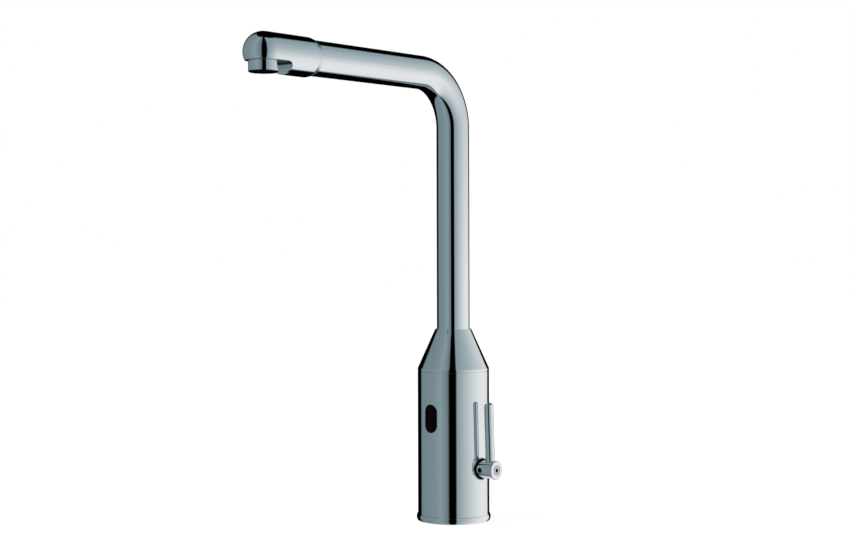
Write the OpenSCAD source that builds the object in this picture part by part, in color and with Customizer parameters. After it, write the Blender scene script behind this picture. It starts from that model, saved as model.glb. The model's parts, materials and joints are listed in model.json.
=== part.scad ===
// Deck-mounted sensor tap with a swivelling spout and a mixing lever at its side.
// The origin is the middle of the base's underside. +Z is up, the spout and the
// sensor window face -Y, and the mixing lever stands on the +X side.

/* [Body] */
// Outside diameter of the body sleeve
body_d = 48; // [46:0.5:56]
// Wall of the body sleeve
sleeve_wall = 1.5; // [1:0.1:1.7]
// Height of the sleeve's top edge above the deck
sleeve_top = 100; // [98:0.5:115]
// Height of the base ring
base_h = 4.2; // [3.5:0.1:6]
// How far the base ring stands out past the sleeve
base_overhang = 0.9; // [0.4:0.1:2]
// Height of the cone cap above the sleeve
cone_h = 28; // [26:0.5:40]
// Height of the straight skirt at the foot of the cone cap
skirt_h = 1.8; // [1:0.1:4]

/* [Spout] */
// Outside diameter of the spout tube
tube_d = 22; // [20:0.5:24]
// Wall of the spout tube
tube_wall = 1.5; // [1:0.1:2]
// Height of the spout's level axis above the deck
spout_h = 297.85; // [220:0.05:380]
// Distance from the body's axis to the outlet's axis
reach = 176; // [150:1:240]
// Centreline radius of the bend
bend_r = 35; // [25:1:60]

/* [Nozzle] */
// How far the nozzle stands out past the tube
nozzle_over = 1.25; // [0.9:0.05:2]
// Length of the nozzle from its rear edge to the outlet's axis
nozzle_l = 39; // [36:1:60]
// Length of the tapered rear edge
nozzle_taper = 4; // [3:0.5:8]
// Depth of the flat under the nozzle, below the spout's axis
flat_drop = 5.15; // [4.8:0.05:6]
// Distance from the outlet's axis back to the notch's wall
notch_l = 16; // [13.5:0.5:20]
// Fillet in the notch's inner corner
notch_fillet = 6; // [2:0.5:7]
// Outside diameter of the aerator
aerator_d = 18; // [17:0.5:19]
// Height of the aerator that shows under the nozzle
aerator_drop = 7; // [5:0.5:8]

/* [Lever] */
// Height of the mixing lever's axis above the deck
lever_z = 35.7; // [34:0.1:38]
// Diameter of the lever's hub
hub_d = 11.5; // [11:0.1:12]
// Diameter of the lever rod
rod_d = 6.2; // [5.5:0.1:6.6]
// Height of the rod's top above the lever's axis
rod_rise = 44.3; // [30:0.1:60]
// Distance from the sleeve's surface out to the rod's axis
rod_out = 7.4; // [7:0.1:10]
// Diameter of the cap on the hub's end
hub_cap_d = 12.5; // [12.2:0.1:14]
// Thickness of the cap on the hub's end
hub_cap_t = 2; // [1.6:0.1:3]
// How far the lever leans to the front from upright, in degrees
lever_lean = 2.4; // [-8:0.2:8]

/* [Sensor] */
// Width of the sensor window
window_w = 10.2; // [9:0.1:11]
// Height of the sensor window
window_h = 18.8; // [17:0.1:19.4]
// Height of the window's middle above the lever's axis
window_above_lever = 33.6; // [33.2:0.1:35]

/* [Inside] */
// Distance between the hot and the cold inlet
inlet_spacing = 18; // [17.5:0.5:19]
// Tapped bore of an inlet, for an M10 x 1 hose end
inlet_bore_d = 9; // [8.6:0.1:9.2]
// Depth of an inlet's thread
inlet_depth = 12; // [10:0.5:12.5]
// Tapped bore for the M8 fixing stud
stud_bore_d = 6.8; // [6:0.1:7]
// Depth of the fixing stud's thread
stud_depth = 12; // [8:0.5:16]
// Bore in the valve body that holds the mixing cartridge
cartridge_bore_d = 17; // [16:0.1:17.6]
// Metal from the cartridge bore up to the valve body's top
core_roof = 12.8; // [12.6:0.1:14]
// Lift of the solenoid's plunger
plunger_lift = 1.8; // [1:0.1:2]
// Lift of a non-return valve's poppet
poppet_lift = 1.5; // [1:0.1:1.6]
// Swivel of the spout to each side, in degrees
swivel_angle = 60; // [40:5:75]

/* [Hidden] */
$fn = 72;

// Clearances and the overrun of every cut
seat_gap = 0.05;
run_gap = 0.05;
loose_gap = 0.1;
cut = 1;

// Radii that everything inside the body follows
body_r = body_d / 2;
inner_r = body_r - sleeve_wall;
core_gap = 2;
core_r = inner_r - core_gap;

// Inlets, fixing stud and foot of the valve body
inlet_x = inlet_spacing / 2;
inlet_r = inlet_bore_d / 2;
foot_wall = 1.45;
foot_r = inlet_r + foot_wall;
stud_r = stud_bore_d / 2;
lift_room = 0.5;
passage_r = 2.5;

// Base ring
base_r = body_r + base_overhang;
lip_h = 3;
seal_groove_w = 2.6;
seal_groove_h = 1.5;
seal_groove_r = core_r + loose_gap + seal_groove_w / 2;
base_screw_angles = [90, 235, 305];
base_screw_r = 1.5;
base_screw_head_r = 2.5;
base_screw_head_h = 1.8;
base_screw_l = 10;
base_screw_inset = 0.5;
base_screw_circle_r = core_r - base_screw_head_r - base_screw_inset;
base_screw_key_across = 2;
base_screw_key_depth = 1.2;

// Mixing cartridge, lying along +X on the lever's axis
cartridge_r = cartridge_bore_d / 2;
cartridge_wall = 3.4;
nut_face = core_r - loose_gap;
spool_r = cartridge_r - seat_gap - cartridge_wall;
stem_r = 4;
port_r = 2.5;
port_end_wall = 1.6;
cartridge_face = inlet_x + port_r + port_end_wall;
cartridge_inner_wall = 1.5;
cartridge_inner_end = inlet_x + port_r + cartridge_inner_wall;
spool_bore_r = 2.8;
oring_section_r = 0.5;
oring_depth = 1.1;
spanner_hole_r = 0.8;
spanner_hole_depth = 2;

// Non-return valves between the inlets and the cartridge
check_step = 0.5;
check_zone_r = inlet_r - check_step;
check_top = lever_z - cartridge_r - poppet_lift - lift_room;
strainer_t = 1.4;
strainer_hole_r = 0.45;
strainer_pitch = 1.3;
check_low = inlet_depth + strainer_t + 2 * seat_gap;
check_r = check_zone_r - seat_gap;
check_wall = 0.9;
check_bore_r = check_r - check_wall;
check_lip_t = 1.3;
check_seat_lip = 1.1;
check_seat_r = check_bore_r - check_seat_lip;
poppet_gap = 0.35;
poppet_r = check_bore_r - poppet_gap;
poppet_t = 1.3;
poppet_stem_r = 0.7;
check_spring_wire_r = 0.16;
check_spring_r = 1.35;
check_spring_turns = 4;

// Cable duct in front of the cartridge
cable_wall = 1;
cable_share = 0.27;
cable_r = cable_share * (core_r - cartridge_r - cable_wall);
cable_y = -(cartridge_r + cable_wall + cable_r);
grommet_wall = 1.4;
grommet_lip = 0.2;
grommet_bore_r = cable_r - grommet_lip;
grommet_r = grommet_bore_r + grommet_wall;
grommet_l = 4;

// Valve body's top, with the diaphragm's pocket
core_top = lever_z + cartridge_r + core_roof;
housing_back_gap = 1.5;
housing_back_y = cable_y + cable_r + housing_back_gap;
housing_foot_l = 5;
bonnet_clear = 0.5;
solenoid_front_y = housing_back_y + housing_foot_l + bonnet_clear;
bonnet_head_r = (core_r - solenoid_front_y) / 2;
bonnet_rim = 1;
solenoid_y = core_r - bonnet_head_r;
pocket_r = bonnet_head_r - bonnet_rim;
ledge_w = 1.7;
pocket_low_r = pocket_r - ledge_w;
pocket_h = 4.5;
ledge_z = core_top - pocket_h;
pocket_low_h = 3;
valve_seat_r = 3.5;
mix_hole_wall = 0.5;
mix_seat_gap = 1.2;
mix_port_r = (pocket_low_r - valve_seat_r - mix_hole_wall - mix_seat_gap) / 2;
mix_hole_y = solenoid_y - pocket_low_r + mix_port_r + mix_hole_wall;
outlet_r = 2.2;
cross_r = 1.8;
outlet_roof = 0.8;
outlet_z = ledge_z - pocket_low_h - outlet_r - outlet_roof;

// Riser and posts between the valve body and the spout's socket
post_inset = 4.3;
post_circle_r = core_r - post_inset;
riser_r = 3.2;
riser_bore_r = 2.2;
riser_seat = 2.5;
riser_gap = 0.6;
riser_off = bonnet_head_r + riser_r + riser_gap;
side_angle = asin((pow(post_circle_r, 2) + pow(solenoid_y, 2) - pow(riser_off, 2))
                  / (2 * post_circle_r * solenoid_y));
riser_angle = 180 - side_angle;
front_angle = 39;
post_angles = [side_angle, -front_angle, front_angle - 180];
post_r = 2.5;
post_thread_r = 2;
post_thread_l = 6;

// Spout's socket, inside the cone cap
tube_r = tube_d / 2;
tube_bore_r = tube_r - tube_wall;
socket_drop = 16;
socket_z = sleeve_top - socket_drop;
socket_plate_t = 8;
socket_floor_t = 3;
socket_rise = 6;
socket_top = sleeve_top + socket_rise;
spigot_step = 0.55;
spigot_r = tube_bore_r - spigot_step;
socket_bore_r = spigot_r + run_gap;
socket_over = 2;
socket_r = tube_r + socket_over;
spigot_wall = 2.65;
spigot_bore_r = spigot_r - spigot_wall;
flange_over = 1.5;
flange_r = tube_r + flange_over;
flange_t = 2.6;
washer_t = 0.6;
flange_z = socket_top + washer_t + 2 * seat_gap;
flange_top = flange_z + flange_t;
neck_l = 10;
spigot_clear = 0.6;
spigot_low = socket_z + socket_floor_t + 2 * outlet_r + spigot_clear;
spout_oring_r = 0.95;
spout_oring_groove_w = 2.4;
spout_oring_places = [5, 10.5];
stop_pin_r = 0.7;
stop_pin_circle_r = tube_r - stop_pin_r;
stop_pin_reach = 1.5;
stop_pin_rise = washer_t + stop_pin_reach;
stop_pin_depth = 4;
stop_slot_h = 1.7;
stop_gap = 0.15;
stop_slot_half_w = stop_pin_r + stop_gap;

// Cone cap and slip bush
seam = 0.06;
edge_break = 0.2;
cone_lip = 1.15;
cone_top = sleeve_top + cone_h;
cone_top_r = tube_r + cone_lip;
cap_spigot_l = 12;
cap_ledge = 1.5;
collar_l = 11;
collar_z = cone_top - collar_l;
bush_wall = 2;
bush_r = tube_r + bush_wall;
cap_step = 1.5;
cap_step_z = flange_top - cap_step;
cap_cavity_top = sleeve_top + skirt_h;

// Solenoid valve, standing on the valve body behind the sensor
bonnet_head_h = 3;
chamber_wall = 3;
chamber_r = pocket_r - chamber_wall;
chamber_h = 3;
membrane_t = 1;
membrane_z = ledge_z + seat_gap;
plate_r = 5;
plate_t = 1.5;
plate_z = membrane_z + membrane_t + seat_gap;
pilot_r = 0.5;
plate_lift_share = 2 / 3;
plate_lift = plunger_lift * plate_lift_share;
bonnet_z = membrane_z + membrane_t + seat_gap;
armature_share = 0.35;
armature_bore_r = armature_share * bonnet_head_r;
armature_wall = 0.5;
armature_r = armature_bore_r + armature_wall;
armature_seat = 2;
plunger_r = armature_bore_r - loose_gap;
plunger_nose_r = 2;
plunger_nose_l = 1.9;
seal_t = 1.2;
seal_pocket_r = 1.5;
seal_stand = 0.2;
plunger_z = plate_z + plate_t + seat_gap + seal_stand;
coil_z = core_top + bonnet_head_h;
yoke_t = 1.5;
nut_h = 2.6;
nut_across = 10;
stud_rise = 3.2;
head_room = 1.3;
yoke_top = socket_z - head_room - nut_h;
bobbin_z = coil_z + yoke_t;
bobbin_h = yoke_top - yoke_t - bobbin_z;
bobbin_share = 0.82;
bobbin_flange_r = bobbin_share * bonnet_head_r;
bobbin_flange_t = 1;
bobbin_wall = 0.9;
bobbin_r = armature_r + loose_gap;
winding_inset = 0.4;
winding_r = bobbin_flange_r - winding_inset;
pole_l = 7;
pole_z = yoke_top - pole_l;
plunger_over = 0.6;
plunger_top = pole_z - plunger_lift - plunger_over;
spring_bore_r = 2.2;
spring_bore_l = 7;
plunger_spring_wire_r = 0.25;
plunger_spring_r = 1.7;
plunger_spring_turns = 6;
yoke_half_w = 7;
yoke_front = 7.5;
yoke_gap = 0.3;
yoke_back = bobbin_flange_r + yoke_gap;

// Sensor module behind the window
window_z = lever_z + window_above_lever;
window_gap = 0.08;
window_flange = 1.5;
window_proud = 0.02;
window_flange_t = 0.9;
flange_in_r = core_r + 2 * loose_gap;
flange_out_r = flange_in_r + window_flange_t;
housing_front_r = core_r + loose_gap;
housing_width_share = 0.822;
housing_half_w = housing_width_share * (post_circle_r * cos(front_angle) - post_r);
housing_wall = 1.2;
housing_side_wall = 2.2;
housing_low = core_top + seat_gap;
housing_over = 0.9;
housing_high = window_z + window_h / 2 + window_flange + housing_over;
housing_foot_t = 2.2;
board_t = 1.6;
board_clear = 0.4;
board_back_y = housing_back_y - housing_wall - seat_gap;
led_r = 2.5;
led_reach_share = 0.61;
led_l = led_reach_share * (flange_in_r + board_back_y - board_t - seat_gap);
led_spread_share = 0.25;
sensor_screw_inset = 2.3;
sensor_screw_x = housing_half_w - sensor_screw_inset;
sensor_screw_r = 1.25;
sensor_screw_head_r = 2.1;
sensor_screw_head_h = 1.4;
sensor_screw_l = 6;

// Lever, laid out about its own axis
bush_out_r = 7.5;
bush_in_r = 6.6;
bush_proud = 0.3;
bush_inner_x = core_r + 2 * loose_gap;
hub_r = hub_d / 2;
hub_gap = 0.8;
hub_inner_x = core_r + hub_gap;
rod_x = body_r + rod_out;
rod_r = rod_d / 2;
rod_round_share = 0.7;
rod_round = rod_round_share * rod_r;
rod_seat_share = 0.8;
rod_seat_z = hub_r * rod_seat_share;
rod_spigot_r = 2.2;
rod_spigot_low = 2.6;
hub_end_wall = 0.2;
hub_end_x = rod_x + rod_r + seat_gap + hub_end_wall;
stem_wall = 1;
stem_end_x = rod_x - rod_spigot_r - stem_wall;
tap_l = 8;
cap_screw_r = 1.5;
cap_screw_head_r = 3.1;
cap_screw_head_h = 1.4;
cap_screw_head_gap = 0.3;
cap_screw_socket_across = 2.5;
cap_screw_socket_h = 1.1;
hub_cap_r = hub_cap_d / 2;
hub_cap_round = 0.6;
hub_cap_step = 0.35;
grub_inset = 1.4;
grub_x = stem_end_x - grub_inset;
grub_hole_r = 1.75;
grub_socket_across = 1.6;
grub_sink = 0.5;

// Nozzle and aerator
nozzle_r = tube_r + nozzle_over;
nozzle_edge = 0.3;
nozzle_start = reach - nozzle_l;
notch_wall_l = reach - notch_l;
tube_stop = 3.4;
tube_end_l = notch_wall_l - tube_stop;
channel_r = 5;
channel_rise = 3;
flat_z = spout_h - flat_drop;
aerator_r = aerator_d / 2;
aerator_step = 1;
aerator_neck_r = aerator_r - aerator_step;
aerator_neck_h = 5.2;
aerator_wall = 2.4;
aerator_bore_r = aerator_r - aerator_wall;
aerator_lip = 1.4;
aerator_lip_t = 0.6;
aerator_round = 0.9;
aerator_washer_t = 1;
screen_t = 0.6;
screen_hole_r = 0.5;
screen_pitch = 1.5;
insert_wall = 0.9;
insert_plate_t = 1.2;
insert_hole_r = 0.6;
insert_hole_count = 12;

// Colours, as the photograph shows them or as such pieces are
chrome_c = [0.80, 0.83, 0.85];
brass_c = [0.80, 0.66, 0.36];
steel_c = [0.62, 0.64, 0.66];
rubber_c = [0.10, 0.10, 0.11];
plastic_c = [0.90, 0.90, 0.87];
black_c = [0.06, 0.05, 0.06];
copper_c = [0.72, 0.40, 0.22];
board_c = [0.10, 0.38, 0.20];

// Ring with square corners
module ring(r_out, r_in, h) {
    difference() {
        cylinder(r = r_out, h = h);
        translate([0, 0, -cut]) cylinder(r = r_in, h = h + 2 * cut);
    }
}

// Round ring of a round section
module round_ring(ring_r, section_r) {
    rotate_extrude() translate([ring_r, 0]) circle(r = section_r);
}

// Upright prism with six sides, across its flats
module hex_prism(across, h) {
    cylinder(r = across / sqrt(3), h = h, $fn = 6);
}

// Slot outline with round ends, standing on its short side
module slot_outline(w, h) {
    square([w, h - w], center = true);
    translate([0, (h - w) / 2]) circle(r = w / 2);
    translate([0, (w - h) / 2]) circle(r = w / 2);
}

// Places on a hexagonal grid inside a circle
function grid_places(pitch, limit_r) = [
    for (row = [-6 : 6])
        for (col = [-6 : 6])
            let (x = pitch * (col + row / 2), y = pitch * row * sqrt(3) / 2)
                if (norm([x, y]) <= limit_r) [x, y]
];

// Disc pierced by a hexagonal grid of holes
module pierced_disc(r, h, hole_r, pitch) {
    difference() {
        cylinder(r = r, h = h);
        for (place = grid_places(pitch, r - 2 * hole_r)) {
            translate([place[0], place[1], -cut]) cylinder(r = hole_r, h = h + 2 * cut);
        }
    }
}

// Round wire wound as an open coil, from z = 0 to its length
module coil_spring(mean_r, wire_r, length, turns) {
    sides = 6;
    steps = 10;
    count = steps * turns;
    rise = (length - 2 * wire_r) / count;
    points = [
        for (i = [0 : count])
            for (k = [0 : sides - 1])
                let (
                    turn = 360 * i / steps,
                    side = 360 * k / sides,
                    r = mean_r + wire_r * cos(side),
                    z = wire_r + rise * i + wire_r * sin(side)
                )
                    [r * cos(turn), r * sin(turn), z]
    ];
    walls = [
        for (i = [0 : count - 1])
            for (k = [0 : sides - 1])
                let (
                    a = i * sides + k,
                    b = i * sides + (k + 1) % sides,
                    c = a + sides,
                    d = b + sides
                )
                    each [[a, b, d], [a, d, c]]
    ];
    first_end = [for (k = [1 : sides - 2]) [0, k + 1, k]];
    last = count * sides;
    last_end = [for (k = [1 : sides - 2]) [last, last + k, last + k + 1]];
    polyhedron(points = points, faces = concat(first_end, walls, last_end));
}

// Solenoid's own axis, with z still measured from the deck
module at_solenoid() {
    translate([0, solenoid_y, 0]) children();
}

// Lever's own axis: local +X runs out of the body and local +Z along the rod
module at_lever() {
    translate([0, 0, lever_z]) rotate([lever_lean, 0, 0]) children();
}

// Round bar along +X between two places
module bar_x(x_from, x_to, r) {
    translate([x_from, 0, 0]) rotate([0, 90, 0]) cylinder(r = r, h = x_to - x_from);
}

// Spout's level axis: local +Z runs out along the spout and local +Y is up
module at_spout() {
    translate([0, 0, spout_h]) rotate([90, 0, 0]) children();
}

// Outlet's own axis, with z measured from the flat under the nozzle
module at_outlet() {
    translate([0, -reach, flat_z]) children();
}

// Places of the base screws
module each_base_screw() {
    for (angle = base_screw_angles) {
        rotate([0, 0, angle]) translate([base_screw_circle_r, 0, 0]) children();
    }
}

// Outline of the valve body's foot: a slot round both inlets, with a lobe round the cable
module foot_outline(gap) {
    lobe_r = grommet_r + foot_wall + gap;
    rotate([0, 0, 90]) slot_outline(2 * (foot_r + gap), 2 * (inlet_x + foot_r + gap));
    translate([-lobe_r, cable_y]) square([2 * lobe_r, -cable_y]);
    translate([0, cable_y]) circle(r = lobe_r);
}

// Places of the posts that carry the spout's socket
module each_post() {
    for (angle = post_angles) {
        rotate([0, 0, angle]) translate([post_circle_r, 0, 0]) children();
    }
}

// Place of the riser
module at_riser() {
    rotate([0, 0, riser_angle]) translate([post_circle_r, 0, 0]) children();
}

// Places of the sensor's screws
module each_sensor_screw() {
    for (side = [-1, 1]) {
        translate([side * sensor_screw_x, housing_back_y + housing_foot_l / 2, 0])
            children();
    }
}

// Slot prism that runs out to -Y through the body's front wall
module window_prism(w, h) {
    translate([0, 0, window_z])
        rotate([90, 0, 0])
            linear_extrude(height = body_r + cut)
                slot_outline(w, h);
}

// Level drilling from the riser to the middle of a bore at its height
module cross_drilling(y_to, z) {
    start = [post_circle_r * cos(riser_angle), post_circle_r * sin(riser_angle)];
    run = [-start[0], y_to - start[1]];
    translate([start[0], start[1], z])
        rotate([0, 0, atan2(run[1], run[0])])
            rotate([0, 90, 0])
                cylinder(r = cross_r, h = norm(run));
}

module base_ring() {
    color(chrome_c)
    difference() {
        union() {
            rotate_extrude() {
                square([base_r - base_h / 2, base_h]);
                intersection() {
                    translate([base_r - base_h, 0]) square([base_h, base_h]);
                    translate([base_r - base_h, base_h / 2]) circle(r = base_h);
                }
            }
            translate([0, 0, base_h])
                ring(inner_r - loose_gap, core_r + loose_gap, lip_h);
        }
        translate([0, 0, -cut])
            linear_extrude(height = base_h + 2 * cut)
                foot_outline(seat_gap);
        translate([0, 0, -cut])
            ring(seal_groove_r + seal_groove_w / 2, seal_groove_r - seal_groove_w / 2,
                 seal_groove_h + cut);
        each_base_screw() {
            translate([0, 0, -cut]) cylinder(r = base_screw_r + loose_gap, h = base_h + 2 * cut);
            translate([0, 0, -cut])
                cylinder(r = base_screw_head_r + loose_gap,
                         h = base_screw_head_h + loose_gap + cut);
        }
    }
}

module base_seal() {
    color(rubber_c)
        ring(seal_groove_r + seal_groove_w / 2 - seat_gap,
             seal_groove_r - seal_groove_w / 2 + seat_gap, seal_groove_h - seat_gap);
}

module base_screws() {
    color(steel_c)
    each_base_screw() {
        difference() {
            union() {
                translate([0, 0, loose_gap])
                    cylinder(r = base_screw_head_r, h = base_screw_head_h);
                translate([0, 0, loose_gap]) cylinder(r = base_screw_r, h = base_screw_l);
            }
            translate([0, 0, -cut])
                hex_prism(base_screw_key_across, base_screw_key_depth + cut);
        }
    }
}

module valve_body() {
    color(brass_c)
    difference() {
        union() {
            linear_extrude(height = base_h + cut) foot_outline(0);
            translate([0, 0, base_h]) cylinder(r = core_r, h = core_top - base_h);
        }
        translate([0, 0, -cut]) cylinder(r = stud_r, h = stud_depth + cut);
        for (side = [-1, 1]) {
            translate([side * inlet_x, 0, -cut]) cylinder(r = inlet_r, h = inlet_depth + cut);
            translate([side * inlet_x, 0, 0]) cylinder(r = check_zone_r, h = check_top);
            translate([side * inlet_x, 0, 0]) cylinder(r = passage_r, h = lever_z);
        }
        translate([0, cable_y, -cut]) cylinder(r = cable_r, h = core_top + 2 * cut);
        translate([0, cable_y, -cut]) cylinder(r = grommet_r, h = grommet_l + cut);
        each_base_screw() {
            cylinder(r = base_screw_r + seat_gap, h = base_screw_l + 2 * loose_gap);
        }
        translate([0, 0, lever_z])
            bar_x(-cartridge_inner_end, core_r + cut, cartridge_r);
        translate([0, mix_hole_y, lever_z])
            cylinder(r = mix_port_r, h = ledge_z - lever_z);
        at_solenoid() {
            translate([0, 0, ledge_z]) cylinder(r = pocket_r, h = core_top - ledge_z + cut);
            translate([0, 0, ledge_z - pocket_low_h])
                ring(pocket_low_r, valve_seat_r, pocket_low_h + seat_gap);
            translate([0, 0, outlet_z - outlet_r])
                cylinder(r = outlet_r, h = ledge_z - outlet_z + outlet_r + cut);
        }
        cross_drilling(solenoid_y, outlet_z);
        at_riser() {
            translate([0, 0, outlet_z - riser_bore_r])
                cylinder(r = riser_bore_r, h = core_top - outlet_z);
            translate([0, 0, core_top - riser_seat])
                cylinder(r = riser_r + seat_gap, h = riser_seat + cut);
        }
        each_post() {
            translate([0, 0, core_top - post_thread_l - loose_gap])
                cylinder(r = post_thread_r + seat_gap, h = post_thread_l + loose_gap + cut);
        }
        each_sensor_screw() {
            translate([0, 0, core_top - sensor_screw_l])
                cylinder(r = sensor_screw_r + seat_gap, h = sensor_screw_l + cut);
        }
    }
}

module cable_grommet() {
    color(rubber_c)
        translate([0, cable_y, 0]) ring(grommet_r - seat_gap, grommet_bore_r, grommet_l - seat_gap);
}

module inlet_strainer(side) {
    color(steel_c)
        translate([side * inlet_x, 0, inlet_depth + seat_gap])
            pierced_disc(check_r, strainer_t, strainer_hole_r, strainer_pitch);
}

module check_body(side) {
    color(plastic_c)
    translate([side * inlet_x, 0, check_low]) {
        length = check_top - seat_gap - check_low;
        difference() {
            cylinder(r = check_r, h = length);
            translate([0, 0, -cut]) cylinder(r = check_seat_r, h = check_lip_t + 2 * cut);
            translate([0, 0, check_lip_t])
                cylinder(r = check_bore_r, h = length - 2 * check_lip_t);
            translate([0, 0, -cut])
                cylinder(r = poppet_stem_r + loose_gap, h = length + 2 * cut);
            for (angle = [0, 120, 240]) {
                rotate([0, 0, angle])
                    translate([check_seat_r, 0, length - check_lip_t - cut])
                        cylinder(r = poppet_stem_r, h = check_lip_t + 2 * cut);
            }
        }
    }
}

module check_poppet(side) {
    color(plastic_c)
    translate([side * inlet_x, 0, check_low + check_lip_t + seat_gap]) {
        cylinder(r = poppet_r, h = poppet_t);
        cylinder(r = poppet_stem_r, h = check_top - check_low - check_lip_t - 3 * seat_gap);
    }
}

module check_spring(side) {
    spring_low = check_low + check_lip_t + 2 * seat_gap + poppet_t;
    spring_high = check_top - check_lip_t - 2 * seat_gap;
    color(steel_c)
        translate([side * inlet_x, 0, spring_low])
            coil_spring(check_spring_r, check_spring_wire_r, spring_high - spring_low,
                        check_spring_turns);
}

module cartridge_sleeve() {
    color(plastic_c)
    translate([0, 0, lever_z])
    difference() {
        bar_x(-cartridge_inner_end + seat_gap, cartridge_face, cartridge_r - seat_gap);
        bar_x(-cartridge_inner_end - cut, cartridge_face + cut, spool_r + run_gap);
        for (side = [-1, 1]) {
            translate([side * inlet_x, 0, -cartridge_r - cut])
                cylinder(r = port_r, h = cartridge_r + cut);
        }
        translate([0, mix_hole_y, 0]) cylinder(r = mix_port_r, h = cartridge_r + cut);
    }
}

module cartridge_nut() {
    color(brass_c)
    translate([0, 0, lever_z])
    difference() {
        bar_x(cartridge_face + seat_gap, nut_face, cartridge_r - seat_gap);
        bar_x(cartridge_face - cut, nut_face + cut, stem_r + loose_gap);
        for (side = [-1, 1]) {
            translate([0, side * (cartridge_r + stem_r) / 2, 0])
                bar_x(nut_face - spanner_hole_depth, nut_face + cut, spanner_hole_r);
        }
    }
}

module mixing_spool() {
    inner_end = -cartridge_inner_end + 2 * seat_gap;
    groove_w = 3 * oring_section_r;
    color(brass_c)
    at_lever()
    difference() {
        union() {
            bar_x(inner_end, cartridge_face - seat_gap, spool_r);
            bar_x(cartridge_face - cut, stem_end_x, stem_r);
        }
        bar_x(-inlet_x - port_r, inlet_x + port_r / 2, spool_bore_r);
        for (side = [-1, 1]) {
            translate([side * inlet_x, 0, -spool_r - cut])
                cylinder(r = mix_port_r, h = spool_r + cut);
        }
        translate([0, mix_hole_y / 2, 0]) cylinder(r = mix_port_r, h = spool_r + cut);
        for (side = [-1, 1]) {
            translate([side * inlet_x / 2 - groove_w / 2, 0, 0])
                rotate([0, 90, 0])
                    ring(spool_r + cut, spool_r - oring_depth, groove_w);
        }
        bar_x(stem_end_x - tap_l, stem_end_x + cut, cap_screw_r + seat_gap);
    }
}

module spool_orings() {
    ring_r = spool_r - oring_section_r;
    color(rubber_c)
    at_lever()
    for (side = [-1, 1]) {
        translate([side * inlet_x / 2, 0, 0])
            rotate([0, 90, 0])
                round_ring(ring_r, oring_section_r);
    }
}

module lever_bush() {
    color(chrome_c)
    intersection() {
        cylinder(r = body_r + bush_proud, h = 2 * lever_z);
        translate([0, 0, lever_z])
        difference() {
            bar_x(bush_inner_x, body_r + cut, bush_out_r);
            bar_x(bush_inner_x - cut, body_r + 2 * cut, bush_in_r);
        }
    }
}

module lever_hub() {
    color(chrome_c)
    at_lever()
    difference() {
        bar_x(hub_inner_x, hub_end_x, hub_r);
        bar_x(hub_inner_x - cut, stem_end_x + seat_gap, stem_r + seat_gap);
        bar_x(hub_inner_x, hub_end_x + cut, cap_screw_r + seat_gap);
        translate([rod_x, 0, rod_seat_z]) cylinder(r = rod_r + seat_gap, h = hub_r);
        translate([rod_x, 0, rod_spigot_low - seat_gap])
            cylinder(r = rod_spigot_r + seat_gap, h = hub_r);
        translate([grub_x, 0, 0]) rotate([90, 0, 0]) cylinder(r = grub_hole_r, h = hub_r + cut);
    }
}

module lever_rod() {
    color(chrome_c)
    at_lever()
    translate([rod_x, 0, 0]) {
        translate([0, 0, rod_seat_z + seat_gap])
            cylinder(r = rod_r, h = rod_rise - rod_round - rod_seat_z - seat_gap);
        translate([0, 0, rod_rise - rod_round])
            rotate_extrude() {
                square([rod_r - rod_round, rod_round]);
                translate([rod_r - rod_round, 0]) intersection() {
                    circle(r = rod_round);
                    square([rod_round, rod_round]);
                }
            }
        translate([0, 0, rod_spigot_low]) cylinder(r = rod_spigot_r, h = rod_seat_z);
    }
}

module grub_screw() {
    color(steel_c)
    at_lever()
    translate([grub_x, -stem_r - seat_gap - loose_gap, 0])
        rotate([90, 0, 0])
            difference() {
                cylinder(r = grub_hole_r - seat_gap, h = hub_r - stem_r - grub_sink);
                translate([0, 0, grub_sink / 2]) hex_prism(grub_socket_across, hub_r);
            }
}

module hub_cap() {
    seat = hub_end_x + seat_gap;
    color(chrome_c)
    at_lever()
    difference() {
        translate([seat, 0, 0])
            rotate([0, 90, 0])
                rotate_extrude() {
                    square([hub_cap_r - hub_cap_round, hub_cap_t]);
                    translate([0, hub_cap_round])
                        square([hub_cap_r, hub_cap_t - 2 * hub_cap_round]);
                    for (level = [hub_cap_round, hub_cap_t - hub_cap_round]) {
                        translate([hub_cap_r - hub_cap_round, level])
                            circle(r = hub_cap_round);
                    }
                }
        bar_x(seat - cut, seat + hub_cap_t + cut, cap_screw_r + loose_gap);
        bar_x(seat + hub_cap_t - cap_screw_head_h, seat + hub_cap_t + cut,
              cap_screw_head_r + cap_screw_head_gap);
    }
}

module cap_screw() {
    face = hub_end_x + seat_gap + hub_cap_t;
    color(steel_c)
    at_lever()
    difference() {
        union() {
            bar_x(face - cap_screw_head_h + seat_gap, face, cap_screw_head_r);
            bar_x(stem_end_x - tap_l + loose_gap, face - cap_screw_socket_h, cap_screw_r);
        }
        translate([face - cap_screw_socket_h, 0, 0])
            rotate([0, 90, 0])
                hex_prism(cap_screw_socket_across, cap_screw_socket_h + cut);
    }
}

module diaphragm() {
    color(rubber_c)
        at_solenoid()
            translate([0, 0, membrane_z])
                ring(pocket_r - seat_gap, pilot_r, membrane_t);
}

module diaphragm_plate() {
    color(plastic_c)
        at_solenoid()
            translate([0, 0, plate_z])
                ring(plate_r, pilot_r, plate_t);
}

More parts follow.
